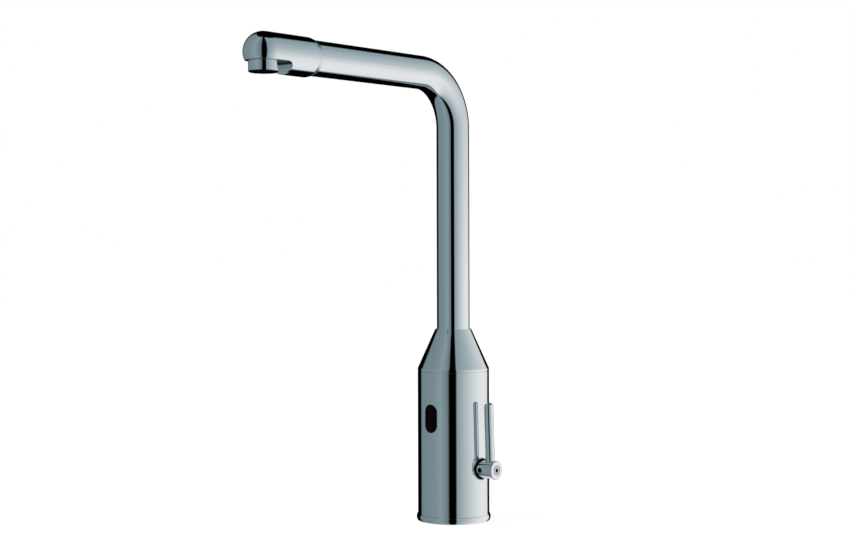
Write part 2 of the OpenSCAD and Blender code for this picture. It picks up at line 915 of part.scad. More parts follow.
module solenoid_bonnet() {
    color(brass_c)
    at_solenoid()
    difference() {
        union() {
            translate([0, 0, bonnet_z])
                cylinder(r = pocket_r - seat_gap, h = core_top - bonnet_z + seat_gap);
            translate([0, 0, core_top + seat_gap])
                cylinder(r = bonnet_head_r, h = bonnet_head_h - seat_gap);
        }
        translate([0, 0, bonnet_z - cut]) cylinder(r = chamber_r, h = chamber_h + cut);
        translate([0, 0, bonnet_z]) cylinder(r = armature_bore_r, h = coil_z - bonnet_z + cut);
        translate([0, 0, coil_z - armature_seat])
            cylinder(r = armature_r + seat_gap, h = armature_seat + cut);
    }
}

module armature_tube() {
    low = coil_z - armature_seat + seat_gap;
    color(steel_c)
        at_solenoid()
            translate([0, 0, low])
                ring(armature_r, armature_bore_r, yoke_top - low);
}

module plunger() {
    color(steel_c)
    at_solenoid()
    difference() {
        union() {
            translate([0, 0, plunger_z]) cylinder(r = plunger_nose_r, h = plunger_nose_l + cut);
            translate([0, 0, plunger_z + plunger_nose_l])
                cylinder(r = plunger_r, h = plunger_top - plunger_z - plunger_nose_l);
        }
        translate([0, 0, plunger_z - cut]) cylinder(r = seal_pocket_r, h = seal_t + cut);
        translate([0, 0, plunger_top - spring_bore_l])
            cylinder(r = spring_bore_r, h = spring_bore_l + cut);
    }
}

module plunger_seal() {
    color(rubber_c)
        at_solenoid()
            translate([0, 0, plunger_z - seal_stand])
                cylinder(r = seal_pocket_r - seat_gap, h = seal_t + seal_stand - seat_gap);
}

module plunger_spring() {
    low = plunger_top - spring_bore_l + seat_gap;
    color(steel_c)
        at_solenoid()
            translate([0, 0, low])
                coil_spring(plunger_spring_r, plunger_spring_wire_r,
                            pole_z - seat_gap - low, plunger_spring_turns);
}

module pole_piece() {
    color(steel_c)
    at_solenoid() {
        translate([0, 0, pole_z]) cylinder(r = armature_bore_r - seat_gap, h = pole_l);
        translate([0, 0, yoke_top - cut]) cylinder(r = post_thread_r, h = stud_rise + cut);
    }
}

module coil_bobbin() {
    color(plastic_c)
    at_solenoid()
    translate([0, 0, bobbin_z + seat_gap]) {
        height = bobbin_h - 2 * seat_gap;
        ring(bobbin_r + bobbin_wall, bobbin_r, height);
        ring(bobbin_flange_r, bobbin_r, bobbin_flange_t);
        translate([0, 0, height - bobbin_flange_t])
            ring(bobbin_flange_r, bobbin_r, bobbin_flange_t);
    }
}

module coil_winding() {
    low = bobbin_z + bobbin_flange_t + 2 * seat_gap;
    color(copper_c)
        at_solenoid()
            translate([0, 0, low])
                ring(winding_r, bobbin_r + bobbin_wall + seat_gap,
                     bobbin_h - 2 * bobbin_flange_t - 4 * seat_gap);
}

module coil_yoke() {
    low = coil_z + seat_gap;
    height = yoke_top - low;
    color(steel_c)
    at_solenoid()
    difference() {
        translate([-yoke_half_w, -yoke_front, low])
            cube([2 * yoke_half_w, yoke_front + yoke_back + yoke_t, height]);
        translate([-yoke_half_w - cut, -yoke_front - cut, bobbin_z])
            cube([2 * (yoke_half_w + cut), yoke_front + yoke_back + cut, bobbin_h]);
        translate([0, 0, low - cut])
            cylinder(r = armature_r + loose_gap, h = height + 2 * cut);
    }
}

module coil_nut() {
    color(steel_c)
    at_solenoid()
    translate([0, 0, yoke_top + seat_gap])
    difference() {
        hex_prism(nut_across, nut_h - seat_gap);
        translate([0, 0, -cut]) cylinder(r = post_thread_r + seat_gap, h = nut_h + 2 * cut);
    }
}

module sensor_window() {
    color(black_c) {
        intersection() {
            window_prism(window_w, window_h);
            ring(body_r + window_proud, flange_in_r, 2 * window_z);
        }
        intersection() {
            window_prism(window_w + 2 * window_flange, window_h + 2 * window_flange);
            ring(flange_out_r, flange_in_r, 2 * window_z);
        }
    }
}

module sensor_seal() {
    color(rubber_c)
    difference() {
        intersection() {
            window_prism(window_w + 2 * window_flange, window_h + 2 * window_flange);
            ring(inner_r - seat_gap, flange_out_r + seat_gap, 2 * window_z);
        }
        window_prism(window_w + 2 * window_gap, window_h + 2 * window_gap);
    }
}

module sensor_housing() {
    box_l = body_r + housing_back_y;
    color(black_c)
    difference() {
        union() {
            intersection() {
                translate([-housing_half_w, -body_r, housing_low])
                    cube([2 * housing_half_w, box_l, housing_high - housing_low]);
                cylinder(r = housing_front_r, h = housing_high + cut);
            }
            translate([-housing_half_w, housing_back_y - housing_wall, housing_low])
                cube([2 * housing_half_w, housing_foot_l + housing_wall, housing_foot_t]);
        }
        translate([-housing_half_w + housing_side_wall, -body_r - cut, housing_low + housing_wall])
            cube([2 * (housing_half_w - housing_side_wall), box_l + cut - housing_wall,
                  housing_high - housing_low - 2 * housing_wall]);
        at_solenoid()
            cylinder(r = bonnet_head_r + 2 * loose_gap, h = housing_high);
        translate([0, cable_y, core_top - cut])
            cylinder(r = cable_r, h = housing_wall + 2 * cut);
        each_sensor_screw() {
            translate([0, 0, core_top - cut])
                cylinder(r = sensor_screw_r + loose_gap, h = housing_foot_t + 2 * cut);
        }
    }
}

module sensor_board() {
    half_w = housing_half_w - housing_side_wall - board_clear;
    low = housing_low + housing_wall + board_clear;
    high = housing_high - housing_wall - board_clear;
    color(board_c)
        translate([-half_w, board_back_y - board_t, low])
            cube([2 * half_w, board_t, high - low]);
}

module led(side) {
    translate([0, board_back_y - board_t - seat_gap, window_z + side * window_h * led_spread_share])
        rotate([90, 0, 0])
            rotate_extrude() {
                square([led_r, led_l - led_r]);
                translate([0, led_l - led_r]) intersection() {
                    circle(r = led_r);
                    square([led_r, led_r]);
                }
            }
}

module ir_emitter() {
    color(black_c) led(1);
}

module ir_receiver() {
    color(black_c) led(-1);
}

module sensor_screws() {
    seat = housing_low + housing_foot_t + seat_gap;
    color(steel_c)
    each_sensor_screw() {
        translate([0, 0, seat]) cylinder(r = sensor_screw_head_r, h = sensor_screw_head_h);
        translate([0, 0, core_top - sensor_screw_l + loose_gap])
            cylinder(r = sensor_screw_r, h = seat - core_top + sensor_screw_l);
    }
}

module riser_tube() {
    low = core_top - riser_seat + seat_gap;
    color(brass_c)
        at_riser()
            translate([0, 0, low])
                ring(riser_r, riser_bore_r, socket_z + riser_seat - seat_gap - low);
}

module tie_posts() {
    color(steel_c)
    each_post() {
        translate([0, 0, core_top + seat_gap])
            cylinder(r = post_r, h = socket_z - core_top - 2 * seat_gap);
        translate([0, 0, core_top - post_thread_l])
            cylinder(r = post_thread_r, h = socket_z - core_top + 2 * post_thread_l);
    }
}

module spout_socket() {
    channel_z = socket_z + socket_floor_t + outlet_r;
    color(brass_c)
    difference() {
        union() {
            translate([0, 0, socket_z]) cylinder(r = core_r, h = socket_plate_t);
            translate([0, 0, socket_z]) cylinder(r = socket_r, h = socket_top - socket_z);
        }
        translate([0, 0, socket_z + socket_floor_t])
            cylinder(r = socket_bore_r, h = socket_top - socket_z);
        cross_drilling(0, channel_z);
        at_riser() {
            translate([0, 0, socket_z - cut])
                cylinder(r = riser_r + seat_gap, h = riser_seat + cut);
            translate([0, 0, socket_z])
                cylinder(r = riser_bore_r, h = channel_z - socket_z + riser_bore_r);
        }
        each_post() {
            translate([0, 0, socket_z - cut])
                cylinder(r = post_thread_r + seat_gap, h = post_thread_l + loose_gap + cut);
        }
        translate([0, stop_pin_circle_r, socket_top - stop_pin_depth])
            cylinder(r = stop_pin_r + seat_gap, h = stop_pin_depth + cut);
    }
}

module stop_pin() {
    color(steel_c)
        translate([0, stop_pin_circle_r, socket_top - stop_pin_depth + seat_gap])
            cylinder(r = stop_pin_r, h = stop_pin_depth + stop_pin_rise - seat_gap);
}

module body_sleeve() {
    top = sleeve_top - seam;
    color(chrome_c)
    difference() {
        rotate_extrude()
            polygon([
                [inner_r, base_h + seat_gap], [body_r, base_h + seat_gap],
                [body_r, top - edge_break], [body_r - edge_break, top], [inner_r, top]
            ]);
        window_prism(window_w + 2 * window_gap, window_h + 2 * window_gap);
        translate([0, 0, lever_z]) bar_x(0, body_r + cut, bush_out_r + seat_gap);
    }
}

module cone_cap() {
    color(chrome_c)
    rotate_extrude()
        polygon([
            [core_r + loose_gap, sleeve_top - cap_spigot_l],
            [inner_r - loose_gap, sleeve_top - cap_spigot_l],
            [inner_r - loose_gap, sleeve_top],
            [body_r - edge_break, sleeve_top],
            [body_r, sleeve_top + edge_break],
            [body_r, sleeve_top + skirt_h],
            [cone_top_r, cone_top],
            [tube_r + loose_gap, cone_top],
            [tube_r + loose_gap, collar_z],
            [bush_r + seat_gap, collar_z],
            [bush_r + seat_gap, cap_step_z],
            [bush_r + cap_ledge, cap_step_z],
            [core_r + loose_gap, cap_cavity_top]
        ]);
}

module slip_washer() {
    color(plastic_c)
    difference() {
        translate([0, 0, socket_top + seat_gap])
            ring(flange_r, socket_bore_r + loose_gap, washer_t);
        translate([0, stop_pin_circle_r, socket_top - cut])
            cylinder(r = stop_pin_r + seat_gap, h = washer_t + 3 * cut);
    }
}

module slip_bush() {
    color(plastic_c)
        translate([0, 0, flange_top + run_gap])
            ring(bush_r, tube_r + run_gap, collar_z - seat_gap - flange_top - run_gap);
}

module spout_spigot() {
    groove_r = spigot_r - 2 * spout_oring_r - seat_gap;
    color(brass_c)
    difference() {
        union() {
            translate([0, 0, spigot_low])
                cylinder(r = spigot_r, h = flange_z - spigot_low + cut);
            translate([0, 0, flange_z]) cylinder(r = flange_r, h = flange_t);
            translate([0, 0, flange_z]) cylinder(r = tube_bore_r - seat_gap, h = flange_t + neck_l);
        }
        translate([0, 0, spigot_low - cut])
            cylinder(r = spigot_bore_r, h = flange_top + neck_l - spigot_low + 2 * cut);
        for (place = spout_oring_places) {
            translate([0, 0, flange_z - place - spout_oring_groove_w / 2])
                ring(spigot_r + cut, groove_r, spout_oring_groove_w);
        }
        translate([0, 0, flange_z - cut])
            rotate([0, 0, 90 - swivel_angle])
                rotate_extrude(angle = 2 * swivel_angle)
                    translate([stop_pin_circle_r - stop_slot_half_w, 0])
                        square([2 * stop_slot_half_w, stop_slot_h + cut]);
        for (side = [-1, 1]) {
            rotate([0, 0, 90 + side * swivel_angle])
                translate([stop_pin_circle_r, 0, flange_z - cut])
                    cylinder(r = stop_slot_half_w, h = stop_slot_h + cut);
        }
    }
}

module spout_orings() {
    color(rubber_c)
    for (place = spout_oring_places) {
        translate([0, 0, flange_z - place])
            round_ring(spigot_r - spout_oring_r, spout_oring_r);
    }
}

// Bar along the spout's whole route, at one radius
module spout_route(r, overrun) {
    riser_top = spout_h - bend_r;
    translate([0, 0, flange_top + seat_gap - overrun])
        cylinder(r = r, h = riser_top - flange_top - seat_gap + overrun);
    translate([0, -bend_r, riser_top])
        rotate([90, 0, 90])
            rotate_extrude(angle = 90)
                translate([bend_r, 0]) circle(r = r);
    at_spout()
        translate([0, 0, bend_r]) cylinder(r = r, h = tube_end_l - bend_r + overrun);
}

module spout_tube() {
    color(chrome_c)
    difference() {
        spout_route(tube_r, 0);
        spout_route(tube_bore_r, cut);
    }
}

// Side outline of the space milled away under the nozzle, with its rounded inner corner
module notch_outline() {
    far = reach + nozzle_r + cut;
    deep = nozzle_r + notch_fillet + cut;
    translate([notch_wall_l, -deep])
        square([far - notch_wall_l, deep - flat_drop - notch_fillet]);
    translate([notch_wall_l + notch_fillet, -deep])
        square([far - notch_wall_l - notch_fillet, deep - flat_drop]);
    translate([notch_wall_l + notch_fillet, -flat_drop - notch_fillet])
        circle(r = notch_fillet);
}

module spout_nozzle() {
    straight = nozzle_start + nozzle_taper;
    color(chrome_c)
    difference() {
        at_spout() {
            translate([0, 0, nozzle_start])
                cylinder(r1 = tube_r + nozzle_edge, r2 = nozzle_r, h = nozzle_taper);
            translate([0, 0, straight]) cylinder(r = nozzle_r, h = reach - straight);
            translate([0, 0, reach]) sphere(r = nozzle_r);
        }
        at_spout() {
            translate([0, 0, nozzle_start - cut])
                cylinder(r = tube_r + seat_gap, h = tube_end_l + seat_gap - nozzle_start + cut);
            translate([0, channel_rise, tube_end_l]) cylinder(r = channel_r, h = reach - tube_end_l);
        }
        at_outlet() {
            translate([0, 0, -cut])
                cylinder(r = aerator_neck_r + seat_gap,
                         h = aerator_neck_h + aerator_washer_t + 2 * seat_gap + cut);
            translate([0, 0, -nozzle_r]) cylinder(r = aerator_r + seat_gap, h = nozzle_r - seat_gap);
            cylinder(r = channel_r, h = flat_drop + channel_rise);
        }
        translate([nozzle_r + cut, 0, spout_h])
            rotate([90, 0, -90])
                linear_extrude(height = 2 * (nozzle_r + cut))
                    notch_outline();
    }
}

module aerator_housing() {
    low = -aerator_drop;
    color(chrome_c)
    at_outlet()
    difference() {
        union() {
            translate([0, 0, low])
                rotate_extrude() {
                    square([aerator_r - aerator_round, aerator_drop - seat_gap]);
                    translate([0, aerator_round])
                        square([aerator_r, aerator_drop - aerator_round - seat_gap]);
                    translate([aerator_r - aerator_round, aerator_round])
                        circle(r = aerator_round);
                }
            translate([0, 0, -cut]) cylinder(r = aerator_neck_r, h = aerator_neck_h + cut);
        }
        translate([0, 0, low - cut])
            cylinder(r = aerator_bore_r - aerator_lip, h = aerator_drop + aerator_neck_h + 2 * cut);
        translate([0, 0, low + aerator_lip_t])
            cylinder(r = aerator_bore_r, h = aerator_drop + aerator_neck_h);
    }
}

module aerator_insert() {
    low = aerator_lip_t - aerator_drop + seat_gap;
    height = aerator_neck_h - low;
    r = aerator_bore_r - seat_gap;
    color(plastic_c)
    at_outlet()
    translate([0, 0, low])
    difference() {
        cylinder(r = r, h = height);
        translate([0, 0, -cut]) cylinder(r = r - insert_wall, h = height - insert_plate_t + cut);
        for (i = [0 : insert_hole_count - 1]) {
            rotate([0, 0, i * 360 / insert_hole_count])
                translate([(r - insert_wall) / 2, 0, 0])
                    cylinder(r = insert_hole_r, h = height + cut);
        }
    }
}

module aerator_screen() {
    r = aerator_bore_r - 2 * seat_gap - insert_wall;
    color(steel_c)
        at_outlet()
            translate([0, 0, aerator_lip_t - aerator_drop + seat_gap])
                pierced_disc(r, screen_t, screen_hole_r, screen_pitch);
}

module aerator_washer() {
    color(rubber_c)
        at_outlet()
            translate([0, 0, aerator_neck_h + seat_gap])
                ring(aerator_neck_r, channel_r, aerator_washer_t);
}

base_ring();
base_seal();
base_screws();
valve_body();
cable_grommet();
inlet_strainer(1);  // inlet_strainer_hot
inlet_strainer(-1);  // inlet_strainer_cold
check_body(1);  // check_body_hot
check_body(-1);  // check_body_cold
check_poppet(1);  // check_poppet_hot
check_poppet(-1);  // check_poppet_cold
check_spring(1);  // check_spring_hot
check_spring(-1);  // check_spring_cold
cartridge_sleeve();
cartridge_nut();
mixing_spool();
spool_orings();
lever_bush();
lever_hub();
lever_rod();
grub_screw();
hub_cap();
cap_screw();
diaphragm();
diaphragm_plate();
solenoid_bonnet();
armature_tube();
plunger();
plunger_seal();
plunger_spring();
pole_piece();
coil_bobbin();
coil_winding();
coil_yoke();
coil_nut();
sensor_window();
sensor_seal();
sensor_housing();
sensor_board();
ir_emitter();
ir_receiver();
sensor_screws();
riser_tube();
tie_posts();
spout_socket();
stop_pin();
body_sleeve();
cone_cap();
slip_washer();
slip_bush();
spout_spigot();
spout_orings();
spout_tube();
spout_nozzle();
aerator_housing();
aerator_insert();
aerator_screen();
aerator_washer();
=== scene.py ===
"""Sensor tap: its finishes, soft and wound pieces and studio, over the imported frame."""
import json
import math

import bmesh
import bpy
from bpy.props import (
    FloatProperty,
    FloatVectorProperty,
    IntProperty,
    PointerProperty,
)
from mathutils import Matrix, Vector


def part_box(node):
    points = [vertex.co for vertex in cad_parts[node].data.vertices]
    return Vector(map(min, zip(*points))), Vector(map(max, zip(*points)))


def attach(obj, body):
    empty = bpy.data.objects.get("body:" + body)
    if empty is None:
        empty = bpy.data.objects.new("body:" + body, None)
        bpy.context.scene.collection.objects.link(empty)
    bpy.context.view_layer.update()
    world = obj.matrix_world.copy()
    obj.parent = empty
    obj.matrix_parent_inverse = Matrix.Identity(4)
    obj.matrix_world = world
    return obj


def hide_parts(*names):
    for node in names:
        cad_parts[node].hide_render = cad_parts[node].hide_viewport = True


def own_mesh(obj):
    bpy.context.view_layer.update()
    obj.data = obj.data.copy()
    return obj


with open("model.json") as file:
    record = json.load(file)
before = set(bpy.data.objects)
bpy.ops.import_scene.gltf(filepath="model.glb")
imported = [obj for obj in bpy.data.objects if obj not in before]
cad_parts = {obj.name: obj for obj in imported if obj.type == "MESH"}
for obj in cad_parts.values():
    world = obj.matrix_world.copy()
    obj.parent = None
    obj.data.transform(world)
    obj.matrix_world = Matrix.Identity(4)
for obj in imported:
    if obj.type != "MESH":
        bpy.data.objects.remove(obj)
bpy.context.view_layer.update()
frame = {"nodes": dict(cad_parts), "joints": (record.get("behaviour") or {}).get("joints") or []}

bl_info = {
    "name": "Sensor Tap",
    "version": (1, 0, 0),
    "blender": (4, 5, 0),
    "location": "View3D > Sidebar > Sensor Tap",
    "description": "Finishes, seals, springs and studio of a deck-mounted sensor tap",
    "category": "Object",
}

# The nodes that share each finish
BODY_CHROME = ("body_sleeve", "cone_cap", "base_ring")
LEVER_CHROME = ("lever_hub", "lever_rod", "hub_cap")
BRASS = (
    "valve_body", "mixing_spool", "solenoid_bonnet", "riser_tube", "spout_socket",
    "spout_spigot",
)
STEEL = (
    "base_screws", "inlet_strainer_hot", "inlet_strainer_cold", "armature_tube",
    "plunger", "pole_piece", "coil_yoke", "coil_nut", "sensor_screws", "tie_posts",
    "stop_pin",
)
# The grub screw has a black oxide skin; the cartridge nut, brass in the real tap, is painted
# black as shade in the gap round the lever's hub
BLACK_OXIDE_AND_SHADE = ("cartridge_nut", "grub_screw")
WHITE_PLASTIC = (
    "check_body_hot", "check_body_cold", "check_poppet_hot", "check_poppet_cold",
    "cartridge_sleeve", "diaphragm_plate", "coil_bobbin", "slip_washer",
    "slip_bush", "aerator_insert",
)
BLACK_PLASTIC = ("sensor_housing",)
SMOKED_PLASTIC = ("ir_emitter", "ir_receiver")

MM = 0.001
# Sides of a turned piece, large or small
ROUND_STEPS = 96
SMALL_STEPS = 72
# Steepest angle between faces that are still shaded as one
SMOOTH_ANGLE = math.radians(40)
# Points on each turn of a wound wire, its turns' pitch as a share of its thickness, and
# the turns that lie closed at its two ends
TURN_STEPS = 28
WIRE_PITCH = 1.04
CLOSED_TURNS = 2
# Width of the flange round the sensor's window, inside the sleeve
WINDOW_FLANGE = 1.5 * MM
# How far a box that bounds a finish reaches past the piece, and past a face that it ends
# on, which is also half the width of a soft edge
PAST = Vector((MM, MM, MM))
MARGIN = 0.05 * MM


# Sizes and colours that a user would change

def colour(name, description, default):
    return FloatVectorProperty(
        name=name, description=description, default=default,
        subtype="COLOR", size=3, min=0, max=1,
    )


def length(name, description, default):
    return FloatProperty(
        name=name, description=description, default=default,
        unit="LENGTH", subtype="DISTANCE", min=0, precision=5,
    )


class SENSORTAP_PG_finishes(bpy.types.PropertyGroup):
    """Colours and polish of the tap's materials."""

    chrome: colour("Chrome", "Colour of the chrome plate", (0.93, 0.935, 0.94))
    brass: colour("Brass", "Colour of the turned brass", (0.80, 0.60, 0.28))
    steel: colour("Steel", "Colour of the stainless steel", (0.62, 0.63, 0.64))
    rubber: colour("Rubber", "Colour of the seals", (0.022, 0.022, 0.024))
    rubber_bloom: colour("Rubber bloom", "Pale film on the seals", (0.085, 0.085, 0.088))
    white_plastic: colour("White plastic", "Colour of the acetal pieces", (0.80, 0.80, 0.76))
    black_plastic: colour(
        "Black plastic", "Colour of the sensor's housing", (0.020, 0.020, 0.022),
    )
    smoked_plastic: colour(
        "Smoked plastic", "Colour of the infrared lenses", (0.012, 0.009, 0.016),
    )
    window: colour("Window", "Colour of the sensor's window", (0.002, 0.0015, 0.002))
    # Painted highlight: deep red glint down the window's middle
    window_painted_glint: colour(
        "Window glow", "Deep red in the middle of the window", (0.010, 0.0012, 0.0018),
    )
    copper: colour("Copper", "Colour of the enamelled wire", (0.62, 0.24, 0.09))
    board: colour("Circuit board", "Colour of the board's solder mask", (0.020, 0.16, 0.055))
    polish: FloatProperty(
        name="Polish", description="Roughness of clean chrome", default=0.05,
        subtype="FACTOR", min=0, max=1,
    )
    wear: FloatProperty(
        name="Wear", description="How much haze and wiping the chrome shows",
        default=1.0, subtype="FACTOR", min=0, max=2,
    )


class SENSORTAP_PG_small_parts(bpy.types.PropertyGroup):
    """Sizes of what is wound, woven or moulded, of the marks on the chrome, and of the painted
    shade on it.
    """

    check_wire: length("Check spring wire", "Diameter of a check spring's wire", 0.32 * MM)
    check_turns: IntProperty(
        name="Check spring turns", description="Open turns of a check spring",
        default=4, min=2, max=12,
    )
    plunger_wire: length(
        "Plunger spring wire", "Diameter of the plunger spring's wire", 0.5 * MM,
    )
    plunger_turns: IntProperty(
        name="Plunger spring turns", description="Open turns of the plunger's spring",
        default=6, min=2, max=16,
    )
    winding_wire: length("Coil wire", "Diameter of the coil's enamelled wire", 0.34 * MM)
    spool_oring: length("Spool O-ring", "Thickness of the spool's O-rings", 1.0 * MM)
    spout_oring: length("Spout O-ring", "Thickness of the spout's O-rings", 1.9 * MM)
    screen_wire: length("Screen wire", "Diameter of the aerator screen's wire", 0.2 * MM)
    screen_pitch: length("Screen pitch", "Distance between the screen's wires", 0.62 * MM)
    milled_length: length(
        "Milled length", "From the outlet's axis to the end of the notch's milled corner",
        15.5 * MM,
    )
    flat_depth: length(
        "Flat depth", "From the spout's axis down to the milled flat", 5.15 * MM,
    )
    # Painted shade: the bush is painted black within this radius, at its inner edge beside the
    # hub
    bush_shade: length("Bush shade", "Radius of the black edge in the lever's bush", 6.95 * MM)
    taper: length("Taper", "Length of the nozzle's tapered rear edge", 4 * MM)
    # Painted shade: the aerator's lower lip is painted black up to this height
    lip: length("Lip", "Height of the black lip at the aerator's lower end", 0.75 * MM)


class SENSORTAP_PG_studio(bpy.types.PropertyGroup):
    """Camera and light."""

    camera_place: FloatVectorProperty(
        name="Camera place", description="Where the camera stands",
        default=(0.6745, -0.82487, 0.1784), subtype="TRANSLATION", unit="LENGTH", size=3,
    )
    camera_turn: FloatProperty(
        name="Camera turn", description="Angle of the level camera round the upright",
        default=math.radians(40.29), subtype="ANGLE", unit="ROTATION",
    )
    camera_roll: FloatProperty(
        name="Camera roll", description="Tilt of the camera about its view axis",
        default=math.radians(0.15), subtype="ANGLE", unit="ROTATION",
    )
    lens: FloatProperty(
        name="Lens", description="Focal length in millimetres", default=66.96, unit="CAMERA",
    )
    frame_drop: FloatProperty(
        name="Frame drop", description="Camera shift that puts the horizon in its place",
        default=-0.02753,
    )
    world_level: FloatProperty(
        name="World level", description="Plain light from all round", default=0.72, min=0,
    )
    key_power: FloatProperty(
        name="Key power", description="Power of the large soft lamp", default=26.0,
        unit="POWER", min=0,
    )
    cool_panel: colour("Cool panel", "Dim panel on the left", (0.205, 0.283, 0.312))
    bright_panel: colour("Bright panel", "Bright panel on the right", (0.790, 0.815, 0.835))


# Shader expressions

class Field:
    """A shader socket that takes part in Python expressions."""

    def __init__(self, graph, socket):
        self.graph = graph
        self.socket = socket

    def __add__(self, other):
        return self.graph.math("ADD", self, other)

    def __sub__(self, other):
        return self.graph.math("SUBTRACT", self, other)

    def __rsub__(self, other):
        return self.graph.math("SUBTRACT", other, self)

    def __mul__(self, other):
        return self.graph.math("MULTIPLY", self, other)

    def __truediv__(self, other):
        return self.graph.math("DIVIDE", self, other)

    __radd__ = __add__
    __rmul__ = __mul__


class Graph:
    """The node tree of a material or a world."""

    def __init__(self, owner):
        owner.use_nodes = True
        self.tree = owner.node_tree
        self.tree.nodes.clear()

    def add(self, kind, settings=None, sockets=None, output=0):
        """Adds one node: its settings first, then its sockets. Returns one output."""
        made = self.tree.nodes.new(kind)
        for name, value in (settings or {}).items():
            if name == "stops":
                self.fill_ramp(made.color_ramp, value)
            else:
                setattr(made, name, value)
        for key, value in (sockets or {}).items():
            if isinstance(value, Field):
                self.tree.links.new(value.socket, made.inputs[key])
            else:
                made.inputs[key].default_value = value
        return Field(self, made.outputs[output]) if made.outputs else None

    @staticmethod
    def fill_ramp(ramp, stops):
        while len(ramp.elements) < len(stops):
            ramp.elements.new(1)
        for element, (place, tone) in zip(ramp.elements, stops):
            element.position = place
            element.color = (*tone, 1)

    def math(self, operation, *values):
        return self.add("ShaderNodeMath", {"operation": operation}, dict(enumerate(values)))

    def vector(self, operation, *values, output=0):
        return self.add(
            "ShaderNodeVectorMath", {"operation": operation}, dict(enumerate(values)), output,
        )

    def mix(self, factor, first, second):
        """Goes from the first colour to the second as factor goes from 0 to 1."""
        full = [c if isinstance(c, Field) else (*c, 1) for c in (first, second)]
        return self.add(
            "ShaderNodeMix", {"data_type": "RGBA"}, {0: factor, 6: full[0], 7: full[1]}, 2,
        )

    def point(self, kind="Object"):
        """The point on the piece in metres, or as "Normal" the way that it faces."""
        return self.add("ShaderNodeTexCoord", output=kind)

    def part(self, vector, axis):
        """One of a vector's three parts, named X, Y or Z."""
        return self.add("ShaderNodeSeparateXYZ", sockets={"Vector": vector}, output=axis)

    def place(self, drift=(0, 0, 0), stretch=(1, 1, 1)):
        """The point on the piece, moved and stretched."""
        return self.vector("MULTIPLY", self.vector("ADD", self.point(), drift), stretch)

    def noise(self, place=None, scale=1.0, detail=4.0, roughness=0.55):
        """Soft noise, from 0 to 1, of the place on the piece."""
        return self.add("ShaderNodeTexNoise", sockets={
            "Vector": place or self.place(), "Scale": scale, "Detail": detail,
            "Roughness": roughness,
        })

    def spread(self, value, low, high):
        """0 up to low, 1 from high, smooth between."""
        return self.add(
            "ShaderNodeMapRange", {"interpolation_type": "SMOOTHSTEP"},
            {"Value": value, "From Min": low, "From Max": high},
        )

    def patches(self, low, high, place=None, **grain):
        """Soft-edged patches: 0 where the noise is under low, 1 where it is over high."""
        return self.spread(self.noise(place, **grain), low, high)

    def inside(self, low, high):
        """1 inside an upright box given in metres, 0 outside."""
        point = self.point()
        factor = 1.0
        for axis, least, most in zip("XYZ", low, high):
            along = self.part(point, axis)
            factor = (
                self.math("GREATER_THAN", along, least) * self.math("LESS_THAN", along, most)
                * factor
            )
        return factor

    def around(self, level, radius, edge):
        """1 up to a radius round the level axis along X, 0 outside."""
        off_axis = self.vector("SUBTRACT", self.point(), (0, 0, level))
        off_axis = self.vector("MULTIPLY", off_axis, (0, 1, 1))
        off = self.vector("LENGTH", off_axis, output="Value")
        return 1 - self.spread(off, radius - edge, radius + edge)

    def bump(self, height, distance):
        """Relief that is a distance in metres deep where the height goes from 0 to 1."""
        return self.add(
            "ShaderNodeBump",
            sockets={"Height": height, "Distance": distance, "Strength": 1.0},
        )

    def finish(self, sockets):
        """Ends the tree in one Principled surface."""
        surface = self.add("ShaderNodeBsdfPrincipled", sockets=sockets)
        self.add("ShaderNodeOutputMaterial", sockets={"Surface": surface})


def new_material(name):
    material = bpy.data.materials.new(name)
    return material, Graph(material)


def toned(tone, factor):
    """A colour made lighter or darker, and never more than white."""
    return tuple(min(1.0, part * factor) for part in tone)


# Finishes

def milled_faces(g, look, box):
    """1 on the faces milled across the nozzle in a box, and the tone painted on them.

    The tone is painted light and shade by the way each face points: the wall is painted pale,
    the corner under it is painted black and the ceiling is painted grey.
    """
    facing = g.point("Normal")
    most_sideways = 0.25
    across = g.math("LESS_THAN", g.math("ABSOLUTE", g.part(facing, "X")), most_sideways)
    # Painted light and shade: shares of the chrome's colour painted on the wall, the corner and
    # the ceiling
    wall, corner, ceiling = (toned(look.chrome, share) for share in (0.86, 0.05, 0.34))
    tone = g.add("ShaderNodeValToRGB", {"stops": [
        (0, wall), (0.68, wall), (0.80, corner), (0.94, corner), (0.985, ceiling),
        (1, ceiling),
    ]}, {"Fac": g.math("ABSOLUTE", g.part(facing, "Z"))})
    return g.inside(*box) * across, tone


